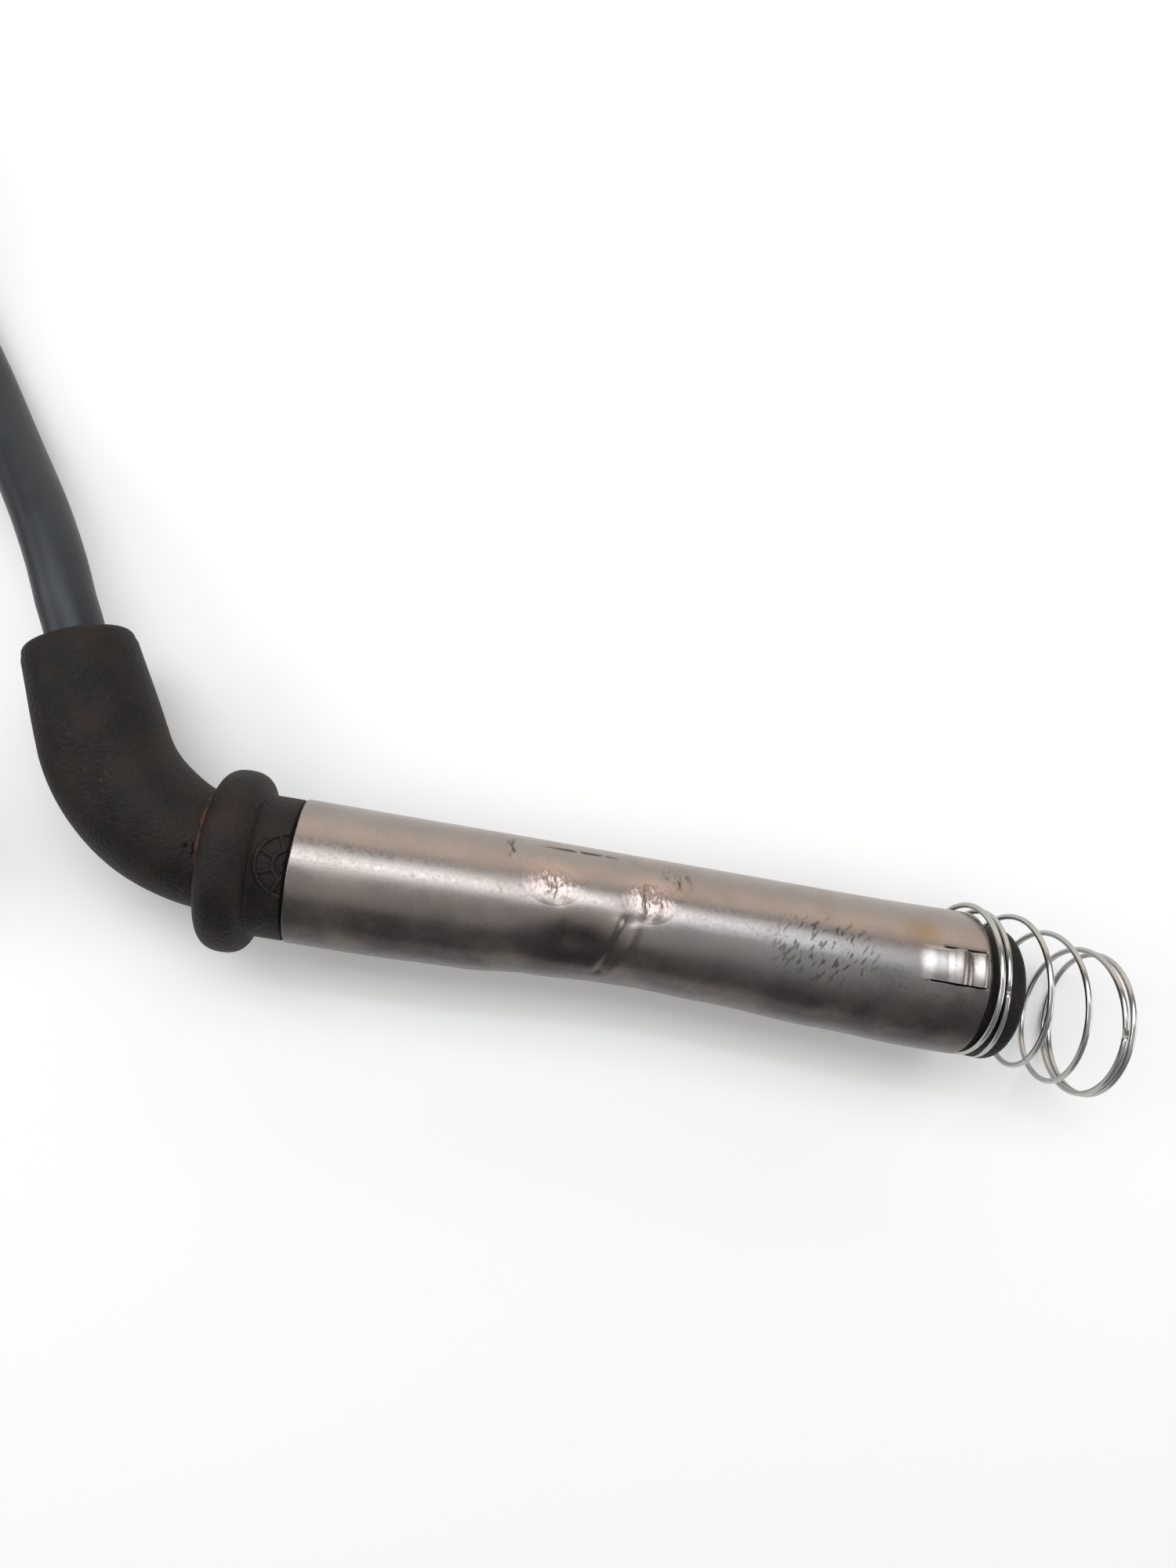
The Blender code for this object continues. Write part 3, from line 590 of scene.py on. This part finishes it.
SHIELD_R, SHIELD_WALL = 10.0, 0.45
TAB_START, TAB_TIP = 84.6, 93.4
TAB_LOW, TAB_HIGH = 0.35, 4.75  # how far the tab's two edges are off the axis, towards the elbow's side
TAB_RISE = [
    (84.6, 0),
    (86.2, 0.34),
    (88.5, 0.40),
    (89.2, 1.00),
    (90.1, 1.05),
    (90.9, 0.34),
    (91.6, 0.10),
    (92.3, 0.50),
    (93.4, 0.62),
]
# The pinch's depth along the shield, as x and depth
PINCH = [
    (8, 0),
    (24.6, 0.35),
    (33.3, 1.15),
    (43.8, 1.65),
    (48.6, 1.72),
    (59.2, 1.35),
    (74, 0.5),
    (88, 0),
]
PINCHED_SIDE = math.radians(75)  # from the top, away from the elbow's side
HOLLOWS = [
    # middle x, y; reach along and across; depth
    ((34.0, 3.4), (4.0, 3.4), 0.34),
    ((47.0, 3.6), (2.8, 3.6), 0.46),
    ((38.4, -2.8), (4.6, 3.0), 0.75),
]
CREASES = [
    # start x, y; end x, y; height, half width
    ((31.0, 7.0), (32.6, 7.6), 0.12, 0.45),
    ((32.6, 7.6), (34.0, 5.4), 0.18, 0.50),
    ((35.0, 4.8), (35.6, 2.4), -0.16, 0.55),
    ((44.2, 9.0), (45.4, 8.4), -0.18, 0.50),
    ((45.4, 7.6), (46.6, 2.4), 0.20, 0.50),
    ((47.6, 5.6), (47.6, 2.0), -0.16, 0.50),
    ((48.8, 5.6), (48.4, 2.4), 0.16, 0.60),
    ((44.8, 1.0), (42.7, -7.4), -0.38, 0.60),
    ((46.0, 0.2), (44.0, -7.4), 0.14, 0.70),
    ((43.4, 0.6), (41.4, -7.0), 0.14, 0.60),
    ((37.0, -0.4), (36.6, -5.4), -0.10, 0.60),
    ((39.4, -0.6), (39.0, -5.0), 0.08, 0.70),
]
deepest = max(depth for _, depth in PINCH)
print(f"{len(HOLLOWS)} hollows, {len(CREASES)} creases, pinched by up to {deepest:.2f} mm")


# %% How far the skin is pushed at each place
BITTEN_FROM, BITTEN_TO = 24, 58  # the stretch that holds every hollow and crease
WAVE_HEIGHT, WAVE_LENGTH, WAVES_ROUND = 0.05, 14, 1.5  # the slight unevenness all over an old tube


def away_from_line(x, y, start, end):
    """Distance of a point from a stretch of line."""
    along = Vector(end) - Vector(start)
    share = (Vector((x, y)) - Vector(start)).dot(along) / along.length_squared
    share = max(0.0, min(1.0, share))
    return (Vector((x, y)) - Vector(start) - along * share).length


def dented(x, angle):
    """How far the skin moves out at x, and at an angle from the top towards the elbow's side."""
    facing = math.cos((angle + PINCHED_SIDE) / 2)
    push = -between(x, PINCH) * max(0.0, facing) ** 6
    y = SHIELD_R * math.sin(angle)
    on_top = smooth_step(math.cos(angle), 0.05, 0.4)
    if on_top > 0 and BITTEN_FROM < x < BITTEN_TO:
        for (mid_x, mid_y), (along, across), depth in HOLLOWS:
            away = ((x - mid_x) / along) ** 2 + ((y - mid_y) / across) ** 2
            push -= on_top * depth * math.exp(-away)
        for start, end, height, half in CREASES:
            d = away_from_line(x, y, start, end) / half
            push += on_top * height * math.exp(-d * d)
    around = Vector((x / WAVE_LENGTH, math.sin(angle) * WAVES_ROUND, math.cos(angle) * WAVES_ROUND))
    push += WAVE_HEIGHT * noise.noise(around)
    on_tab = TAB_START < x < TAB_TIP and TAB_LOW <= y + 1e-4 and y - 1e-4 <= TAB_HIGH
    if math.cos(angle) > 0.3 and on_tab:
        push += between(x, TAB_RISE)
    return push


def shield_sag(x):
    """The loose tube leans a little away from the elbow's side towards its mouth."""
    return 0.45 * smooth_step(x, 10, SHIELD_LENGTH)


print(f"the crease's bottom is {-dented(43.8, math.radians(-20)):.2f} mm in")

# %% [markdown]
# ## The boot
# The boot is one moulding, so it is one closed skin, its outside and its bore together. It could be
# several shapes joined by booleans, but those leave ragged edges in smooth rubber. The rings start in the
# cuff instead, run round the elbow, over the collar, the neck and the long body to the nose, then turn in
# at the mouth and come all the way back through the bore.


# %% The elbow's middle line
BEND_R = 22.0
bend_start = Vector((-8.71, 0, 0))
bend_run, bend_rise = BEND_R * math.sin(ELBOW_TURN), BEND_R * (1 - math.cos(ELBOW_TURN))
bend_end = bend_start + Vector((-bend_run, bend_rise, 0))
cuff_length = (cuff_end - bend_end).length
print(f"the cuff is straight for {cuff_length:.1f} mm")


def elbow_ring(angle, radius, shift=0.0):
    """A ring on the bend, at an angle from its start. shift moves it towards the inside of the bend."""
    inward = Vector((math.sin(angle), math.cos(angle), 0))
    centre = bend_start + Vector((0, BEND_R, 0)) - inward * (BEND_R - shift)
    return ring_frame(centre, (math.cos(angle), -math.sin(angle), 0), radius)


def cuff_ring(distance, radius):
    """A ring on the cuff, at a distance back from its end."""
    return ring_frame(cuff_end - cuff_heading * distance, -cuff_heading, radius)


def body_ring(x, radius, droop=0.0):
    """A ring on the straight body, square to the shield's axis."""
    return ring_frame((x, -droop, 0), (1, 0, 0), radius)


# %% The boot's cuff and elbow
CUFF_R, CUFF_ROUND, PASSAGE_R, ELBOW_R = 7.45, 1.2, 4.3, 8.6
CUFF_RINGS = 18
ELBOW_RINGS = 49  # the last three would be inside the collar, and are left out
LEAN, SLIM = 0.55, 0.5  # towards the collar the elbow leans to the inside of the bend, and is slimmer
boot_rings = [cuff_ring(0.35, PASSAGE_R), cuff_ring(0.08, PASSAGE_R + 0.25)]
boot_rings.append(cuff_ring(0.0, PASSAGE_R + 0.5))
boot_rings.append(cuff_ring(0.0, CUFF_R - CUFF_ROUND - 0.4))
for i in range(7):
    a = math.pi / 12 * (6 - i)
    inset = CUFF_ROUND * (1 - math.cos(a))
    boot_rings.append(cuff_ring(CUFF_ROUND * (1 - math.sin(a)), CUFF_R - inset))
for i in range(1, CUFF_RINGS):
    d = CUFF_ROUND + (cuff_length - CUFF_ROUND) * i / CUFF_RINGS
    widening = (ELBOW_R - CUFF_R) * smooth_step(d, -4, cuff_length + 2)
    boot_rings.append(cuff_ring(d, CUFF_R + widening))
for i in range(ELBOW_RINGS - 3):
    angle = ELBOW_TURN * (1 - i / ELBOW_RINGS)
    degrees = math.degrees(angle)
    shift = LEAN * (1 - degrees / 60) * smooth_step(degrees, 66, 40)
    boot_rings.append(elbow_ring(angle, ELBOW_R - SLIM * smooth_step(degrees, 38, 6), shift))
print(f"{len(boot_rings)} rings up to the collar")


# %% The boot's collar and neck
def squared(part):
    """Makes a circle's sine or cosine that of a rounder-cornered square."""
    return math.copysign(abs(part) ** 0.82, part)


COLLAR_X, COLLAR_HALF, COLLAR_ROOT_R, COLLAR_R = -8.3, 3.4, 9.3, 12.65
COLLAR_RINGS, COLLAR_START, COLLAR_SWEEP = 24, -112, 192  # degrees round the collar's rim
NECK_R, BODY_R, NOSE_R = 9.85, 9.25, 9.4
boot_rings.append(ring_frame((-11.75, 0.35, 0), (1, -0.04, 0), 8.25))
for i in range(COLLAR_RINGS + 1):
    a = math.radians(COLLAR_START + COLLAR_SWEEP * i / COLLAR_RINGS)
    x = COLLAR_X + COLLAR_HALF * squared(math.sin(a))
    r = COLLAR_ROOT_R + (COLLAR_R - COLLAR_ROOT_R) * squared(math.cos(a))
    boot_rings.append(body_ring(x, r, -0.3 * smooth_step(-a, 1.4, 1.9)))
for x, r in ((-4.6, 9.9), (-4.2, NECK_R), (-2.5, NECK_R), (-0.7, NECK_R), (-0.4, 9.75), (-0.3, BODY_R)):
    boot_rings.append(body_ring(x, r))
print(f"collar {2 * COLLAR_R:.1f} mm across, neck {2 * NECK_R:.1f} mm")


# %% The boot's body and nose
def nose_droop(x):
    """The soft nose leans off the axis, the same way as the tube and further."""
    return 0.3 * smooth_step(x, 60, 94) + 0.9 * smooth_step(x, 88, BOOT_END)


BODY_RINGS, BODY_START, BODY_STOP = 90, -0.3, 93.0
NOSE_ROUND = 1.3
for i in range(1, BODY_RINGS):
    x = BODY_START + (BODY_STOP - BODY_START) * i / BODY_RINGS
    boot_rings.append(body_ring(x, BODY_R, nose_droop(x)))
for x, r in ((94.4, 9.28), (95.2, NOSE_R), (96.5, NOSE_R), (98.0, NOSE_R)):
    boot_rings.append(body_ring(x, r, nose_droop(x)))
for i in range(9):
    a = math.pi / 16 * i
    x = BOOT_END - NOSE_ROUND * (1 - math.sin(a))
    boot_rings.append(body_ring(x, NOSE_R - NOSE_ROUND * (1 - math.cos(a)), nose_droop(x)))
print(f"nose {2 * NOSE_R:.1f} mm across, {BOOT_END - SHIELD_LENGTH:.1f} mm out of the shield")

# %% The boot's bore, from the mouth back to the cuff
INSULATOR_R, SEAL_R, SOCKET_R, SOCKET_BACK = 5.2, 4.87, 5.6, 22.0
bore = [(BOOT_END, 6.7), (BOOT_END - 0.2, 6.3), (BOOT_END - 1.5, 5.6), (BOOT_END - 1.9, INSULATOR_R)]
for middle in (93.7, 90.4):  # two sealing ribs
    bore += [(middle + 0.8, INSULATOR_R), (middle + 0.3, SEAL_R)]
    bore += [(middle - 0.3, SEAL_R), (middle - 0.8, INSULATOR_R)]
bore += [(55.0, INSULATOR_R), (54.2, SOCKET_R), (22.2, SOCKET_R)]
bore += [(SOCKET_BACK, 5.4), (SOCKET_BACK, PASSAGE_R)]
for x, r in bore:
    boot_rings.append(body_ring(x, r, nose_droop(x)))
for i in range(12):
    boot_rings.append(body_ring(SOCKET_BACK - (SOCKET_BACK + 8.7) * (i + 1) / 12, PASSAGE_R))
for i in range(1, 25):
    boot_rings.append(elbow_ring(ELBOW_TURN * i / 24, PASSAGE_R))
for i in range(1, 8):
    boot_rings.append(cuff_ring(cuff_length - (cuff_length - 0.6) * i / 7, PASSAGE_R))
boot_shape = sweep(boot_rings, 96, "joined")
print(f"{len(boot_rings)} rings, {len(boot_shape.faces)} faces")

# %% Pressing the rubber in under the dents
CLEARANCE = 0.15
pressed = 0
for v in boot_shape.verts:
    x, y, z = v.co
    from_axis = math.hypot(y + shield_sag(x), z)
    if 0.2 < x < 93.0 and math.hypot(y, z) > 7.0:
        angle = math.atan2(y + shield_sag(x), z)
        room = SHIELD_R + min(0.0, dented(x, angle)) - SHIELD_WALL - CLEARANCE
        if from_axis > room:
            v.co = (x, room * math.sin(angle) - shield_sag(x), room * math.cos(angle))
            pressed += 1
print(f"{pressed} points of the rubber pressed in")

# %% [markdown]
# A wheel is moulded on the neck, half under the shield's rim: rings and spokes, raised by a third of a
# millimetre, and less under the shield, where there is no room for more. A plain bar and a dot stand on
# the elbow beside the collar. A relief could be a bump in the material, but this one is high enough to
# catch light on its edges. So it is made flat from thin round bars, cut where the neck steps down to the
# body, and each half is wrapped round its own part of the boot.


# %% Bars and hoops for the moulded marks
BAR_R = 0.22


def thin_bar(start, end, radius=BAR_R):
    """A short bar with rounded ends."""
    start, end = Vector(start), Vector(end)
    along = (end - start).normalized()
    shares = [(-1.0, 0.1), (-0.7, 0.7), (0.0, 1.0)]
    rings = [ring_frame(start + along * radius * d, along, radius * r) for d, r in shares]
    rings += [ring_frame(end - along * radius * d, along, radius * r) for d, r in reversed(shares)]
    return sweep(rings, 12)


def thin_hoop(radius, bar):
    """A thin round ring that lies flat."""
    rings = []
    for i in range(48):
        a = 2 * math.pi * i / 48
        centre = (radius * math.cos(a), radius * math.sin(a), 0)
        rings.append(ring_frame(centre, (-math.sin(a), math.cos(a), 0), bar))
    return sweep(rings, 12, "joined")


def join_into(shape, other):
    """Adds another shape's faces to a shape, and frees the other."""
    carried = bpy.data.meshes.new("carried")
    other.to_mesh(carried)
    other.free()
    shape.from_mesh(carried)
    bpy.data.meshes.remove(carried)


def flat_wheel(bar):
    """Three hoops, with eight spokes between the outer two."""
    hub, inner, outer, spokes = 0.9, 1.95, 4.25, 8
    wheel = bmesh.new()
    for radius in (hub, inner, outer):
        join_into(wheel, thin_hoop(radius, bar))
    for i in range(spokes):
        a = 2 * math.pi * (i + 0.5) / spokes
        outward = Vector((math.cos(a), math.sin(a), 0))
        join_into(wheel, thin_bar(outward * inner, outward * outer, bar))
    return wheel


# %% The wheel and the marks on the rubber
WHEEL_Y = 0.87  # how far the wheel's middle is off the axis, towards the side that the elbow bends to
NECK_BAR_R = 0.36
NECK_HALF = (1, NECK_R, -0.45, NECK_BAR_R)
BODY_HALF = (-1, BODY_R, -0.2, BAR_R)
for side, radius, step_x, bar in (NECK_HALF, BODY_HALF):
    wheel = flat_wheel(bar)
    bmesh.ops.bisect_plane(
        wheel,
        geom=wheel.verts[:] + wheel.edges[:] + wheel.faces[:],
        dist=1e-5,
        plane_co=(step_x, 0, 0),
        plane_no=(side, 0, 0),
        clear_outer=True,
    )
    bmesh.ops.holes_fill(wheel, edges=[e for e in wheel.edges if e.is_boundary])
    for v in wheel.verts:
        x, y, z = v.co
        around = (y + WHEEL_Y) / radius
        v.co = (x, (radius + z) * math.sin(around), (radius + z) * math.cos(around))
    bmesh.ops.recalc_face_normals(wheel, faces=wheel.faces)
    join_into(boot_shape, wheel)
join_into(boot_shape, thin_bar((-12.75, 0.5, 8.28), (-13.05, 1.9, 8.12)))
join_into(boot_shape, thin_bar((-13.9, 1.35, 8.1), (-13.95, 1.5, 8.08), 0.42))
finished("boot_moulding", boot_shape, rubber, "boot", "plug_boot")

# %% [markdown]
# ## The heat shield
# The shield is a thin aluminium tube, pushed over the boot, and a narrow tab has been lanced near its
# mouth to hold the spring. The tab could be a piece of its own laid over the tube, but its slots would
# then show no rubber through them. So the outer skin is swept first, cutting planes add the lines on
# which the tab is freed, the whole skin is moved into its dented shape, and a wall is given to it at the
# very end.

# %% The shield's outer skin
SIDES = 160
FINE_STEP, COARSE_STEP = 0.45, 1.0  # the rings are close together where there are dents and the tab
RIM_STEP = 0.25
shield_stations = [0.0, RIM_STEP]
while shield_stations[-1] < SHIELD_LENGTH - 0.4:
    x = shield_stations[-1]
    step = FINE_STEP if (26 < x < 56 or x > 83) else COARSE_STEP
    shield_stations.append(min(x + step, SHIELD_LENGTH - RIM_STEP))
shield_stations.append(SHIELD_LENGTH)
shield_shape = sweep([body_ring(x, SHIELD_R) for x in shield_stations], SIDES, "open")
print(f"{len(shield_stations)} rings, {len(shield_shape.faces)} faces")


# %% Cutting the tab free
SLOT, TIP_SLOT = 0.2, 0.3  # the width of the slots beside the tab, and of the one beyond its tip
LOW_SLOT_START, HIGH_SLOT_START = TAB_START + 1.2, TAB_START + 3.2


def cut_near_tab(shape, place, facing):
    """Adds a line of edges where a plane crosses the skin round the tab."""
    near = []
    for f in shape.faces:
        x, y, z = f.calc_center_median()
        if x > TAB_START - 1 and z > 0 and TAB_LOW - 1.5 < y < TAB_HIGH + 1.5:
            near.append(f)
    parts = {e for f in near for e in f.edges} | {v for f in near for v in f.verts} | set(near)
    bmesh.ops.bisect_plane(shape, geom=list(parts), dist=1e-6, plane_co=place, plane_no=facing)


for edge_y in (TAB_LOW - SLOT, TAB_LOW, TAB_HIGH, TAB_HIGH + SLOT):
    cut_near_tab(shield_shape, (0, edge_y, 0), (0, 1, 0))
for edge_x in (LOW_SLOT_START, HIGH_SLOT_START, TAB_TIP, TAB_TIP + TIP_SLOT):
    cut_near_tab(shield_shape, (edge_x, 0, 0), (1, 0, 0))
slots = []
for f in shield_shape.faces:
    x, y, z = f.calc_center_median()
    if z < 0 or x > TAB_TIP + TIP_SLOT:
        continue
    below = TAB_LOW - SLOT < y < TAB_LOW and x > LOW_SLOT_START
    beside = below or (TAB_HIGH < y < TAB_HIGH + SLOT and x > HIGH_SLOT_START)
    beyond = x > TAB_TIP and TAB_LOW - SLOT < y < TAB_HIGH + SLOT
    if beside or beyond:
        slots.append(f)
bmesh.ops.delete(shield_shape, geom=slots, context="FACES")
print(f"tab freed: {len(slots)} faces cut away")

# %% Denting the skin and giving it a wall
for v in shield_shape.verts:
    x, y, z = v.co
    angle = math.atan2(y, z)
    radius = SHIELD_R + dented(x, angle) + 0.15 * smooth_step(x, 80, SHIELD_LENGTH)
    v.co = (x, radius * math.sin(angle) - shield_sag(x), radius * math.cos(angle))
bmesh.ops.recalc_face_normals(shield_shape, faces=shield_shape.faces)
shield = finished("shield_tube", shield_shape, aluminium, "shield", "heat_shield")
wall = shield.modifiers.new("wall", "SOLIDIFY")
wall.thickness = SHIELD_WALL * MM
wall.offset = -1.0
wall.use_even_offset = True

# %% [markdown]
# ## The ground spring
# One wire, wound in three stretches: two tight turns round the shield's mouth, open coils, and closed
# turns at the end. A Screw modifier could wind an even coil, but this one changes its radius and pitch
# and hangs down, so its line is worked out and a ring is swept along it. The coils shorten when the end
# is pushed, so the stretch between is a piece of its own.


# %% The spring's line
WIRE_R, COIL_R, SEAT_R = 0.4, 10.15, SHIELD_R + 0.75
SEAT_X = SHIELD_LENGTH + 1.1
SEAT_PITCH, MOUTH_PITCH, OPEN_PITCH, CLOSED_PITCH = 3.84, 1.2, 6.1, 1.0
SEAT_FROM, OPEN_FROM, CLOSED_FROM, WIRE_END = -0.6, 1.0, 4.0, 5.5  # in turns
SAG_Y, SAG_Z = 3.4, 2.0  # the free end hangs down, and to the pinched side


def spring_point(turn):
    """The wire's centre, at a number of turns from where it first passes the top beyond the mouth."""
    seat = min(turn, OPEN_FROM)
    x = SEAT_X + seat * (MOUTH_PITCH if seat > 0 else SEAT_PITCH)
    x += OPEN_PITCH * max(0.0, min(turn, CLOSED_FROM) - OPEN_FROM)
    x += CLOSED_PITCH * max(0.0, turn - CLOSED_FROM)
    radius = SEAT_R + (COIL_R - SEAT_R) * smooth_step(turn, 0.02, 0.22)
    sag = max(0.0, min(1.0, (turn - 1.8) / 2.2))
    angle = 2 * math.pi * turn
    return Vector(
        (x, -SAG_Y * sag - radius * math.sin(angle), -SAG_Z * sag + radius * math.cos(angle))
    )


def wound_wire(first, last):
    """The wire between two turns, as a closed skin."""
    count = round((last - first) * 56)
    rings = []
    for i in range(count + 1):
        turn = first + (last - first) * i / count
        here = spring_point(turn)
        along = spring_point(turn + 0.002) - spring_point(turn - 0.002)
        outward = Vector((0, -math.sin(2 * math.pi * turn), math.cos(2 * math.pi * turn)))
        rings.append(ring_frame(here, along, WIRE_R, outward))
    return sweep(rings, 18)


print(f"free length {spring_point(WIRE_END).x - SEAT_X:.1f} mm beyond the mouth")

# %% The spring's three stretches
finished(
    "spring_seat",
    wound_wire(SEAT_FROM, OPEN_FROM),
    wire,
    "shield",
    "spring_seat_turns",
)
coils = finished(
    "spring_coil_stretch",
    wound_wire(OPEN_FROM, CLOSED_FROM),
    wire,
    "shield",
    "spring_coils",
)
finished(
    "spring_closed_turns",
    wound_wire(CLOSED_FROM, WIRE_END),
    wire,
    "spring_end",
    "spring_end_turns",
)

# %% Where the coil stretch starts, how long it is, and a mesh of its own
squash_from = TO_ROOM @ spring_point(OPEN_FROM)
stretch = spring_point(CLOSED_FROM).x - spring_point(OPEN_FROM).x
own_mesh(coils)

# %% [markdown]
# ## The far end
# The coil-end boot is a straight rubber moulding with grip ribs and a thick lip. It could be turned with
# Spin from half a section. The sweep makes the same shape along the boot's slanting axis without turning
# it later, so it is used again: one closed skin, from the cable's passage over the outside and back
# through the bore.

# %% The coil-end boot
MILLIMETRES = Matrix.Scale(MM, 4)
END_TURN = math.radians(-30)
END_LENGTH, END_BORE_R = 48.0, 5.9
RIB_FIRST, RIB_PITCH, RIB_COUNT = 18.4, 4.1, 6
end_along = Vector((math.cos(END_TURN), math.sin(END_TURN), 0))
cuff_part = [(0.5, 4.3), (0.1, 4.5), (0, 4.8), (0, 5.6), (0.25, 6.1), (0.8, 6.4), (10, 6.55)]
ribs = [(11.5, 6.7), (13.5, 7.3), (15, 7.5)]
rib_shape = [(-1, 7.5), (-0.55, 7.95), (0, 8.1), (0.55, 7.95), (1, 7.5)]
for i in range(RIB_COUNT):
    ribs += [(RIB_FIRST + RIB_PITCH * i + d, r) for d, r in rib_shape]
lip = [(42.0, 7.5), (42.7, 7.7), (43.3, 8.3), (44, 8.5), (47, 8.5), (47.7, 8.2), (END_LENGTH, 7.6)]
inside = [(END_LENGTH, 6.6), (47.7, 6.1), (47, END_BORE_R), (30, END_BORE_R), (14.2, END_BORE_R)]
inside += [(14, 5.7), (14, 4.3), (7, 4.3)]
end_rings = [
    ring_frame(coil_boot_at + end_along * distance, end_along, radius)
    for distance, radius in cuff_part + ribs + lip + inside
]
end_boot = finished(
    "coil_end_moulding",
    sweep(end_rings, 72, "joined"),
    end_rubber,
    "boot",
    "coil_boot",
    to_room=MILLIMETRES,
)

# %% [markdown]
# Two nylon ties hold the coiled cable where it lies double. On a real tie the strap runs through its
# lock. Here the strap is swept with a flat section round both turns, and a bevelled block stands for the
# lock, because the join is inside it and never seen.


# %% The cable ties
STRAP_WIDTH, STRAP_THICK = 3.2, 0.8
STRAP_REACH = CABLE_R + 0.3 + STRAP_THICK / 2
LOCK_SIZE = (2.6, 4.6, 5)


def strap_ring(x, z, along):
    """A flat section across the strap's path, in the upright plane y = 0."""
    frame_matrix = ring_frame((x, 0, z), along, 1.0, Vector((0, 1, 0)))
    wide = Matrix.Diagonal((STRAP_THICK / math.sqrt(2), STRAP_WIDTH / math.sqrt(2), 1, 1))
    return frame_matrix @ wide @ Matrix.Rotation(math.radians(45), 4, "Z")


def tie_strap():
    """A strap round two turns that lie one above the other, with its lock on the inside of the coil."""
    rings = []
    for middle_z, first in ((upper_z, 0), (lower_z, 180)):
        for i in range(19):
            a = math.radians(first + 10 * i)
            x, z = STRAP_REACH * math.cos(a), middle_z + STRAP_REACH * math.sin(a)
            rings.append(strap_ring(x, z, (-math.sin(a), 0, math.cos(a))))
    strap = sweep(rings, 4, "joined")
    lock = bmesh.new()
    place = Matrix.Translation((-STRAP_REACH - 1.1, 0, (lower_z + upper_z) / 2))
    bmesh.ops.create_cube(lock, size=1.0, matrix=place @ Matrix.Diagonal((*LOCK_SIZE, 1)))
    bmesh.ops.bevel(
        lock,
        geom=lock.edges[:],
        offset=0.35,
        segments=3,
        profile=0.5,
        affect="EDGES",
        material=-1,
    )
    join_into(strap, lock)
    return strap


for name, degrees in (("coil_tie_first", 75), ("coil_tie_second", 200)):
    place = MILLIMETRES @ Matrix.Translation((ring_centre.x, ring_centre.y, 0))
    place = place @ Matrix.Rotation(math.radians(degrees), 4, "Z")
    place = place @ Matrix.Translation((ring_radius, 0, 0))
    finished(
            f"{name}_strap",
            tie_strap(),
            nylon,
            "boot",
            name,
            smooth=False,
            to_room=place,
        )

# %% [markdown]
# The terminals, their clips and the cable inside the boots keep their CAD shape, which is already as
# detailed as anyone can see down the bores. They only need their finishes.

# %% Finishes of the pieces that keep their CAD shape
KEPT = {
    "plug_terminal": tinned,
    "coil_terminal": tinned,
    "plug_terminal_clip": wire,
    "coil_terminal_clip": wire,
    "plug_lead_jacket": jacket,
    "coil_lead_jacket": jacket,
    "plug_lead_insulation": insulation,
    "coil_lead_insulation": insulation,
    "plug_lead_core": core,
    "coil_lead_core": core,
}
for name, finish_used in KEPT.items():
    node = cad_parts[name]
    node.data.materials.clear()
    node.data.materials.append(finish_used)
print(f"{len(KEPT)} pieces keep their CAD shape")
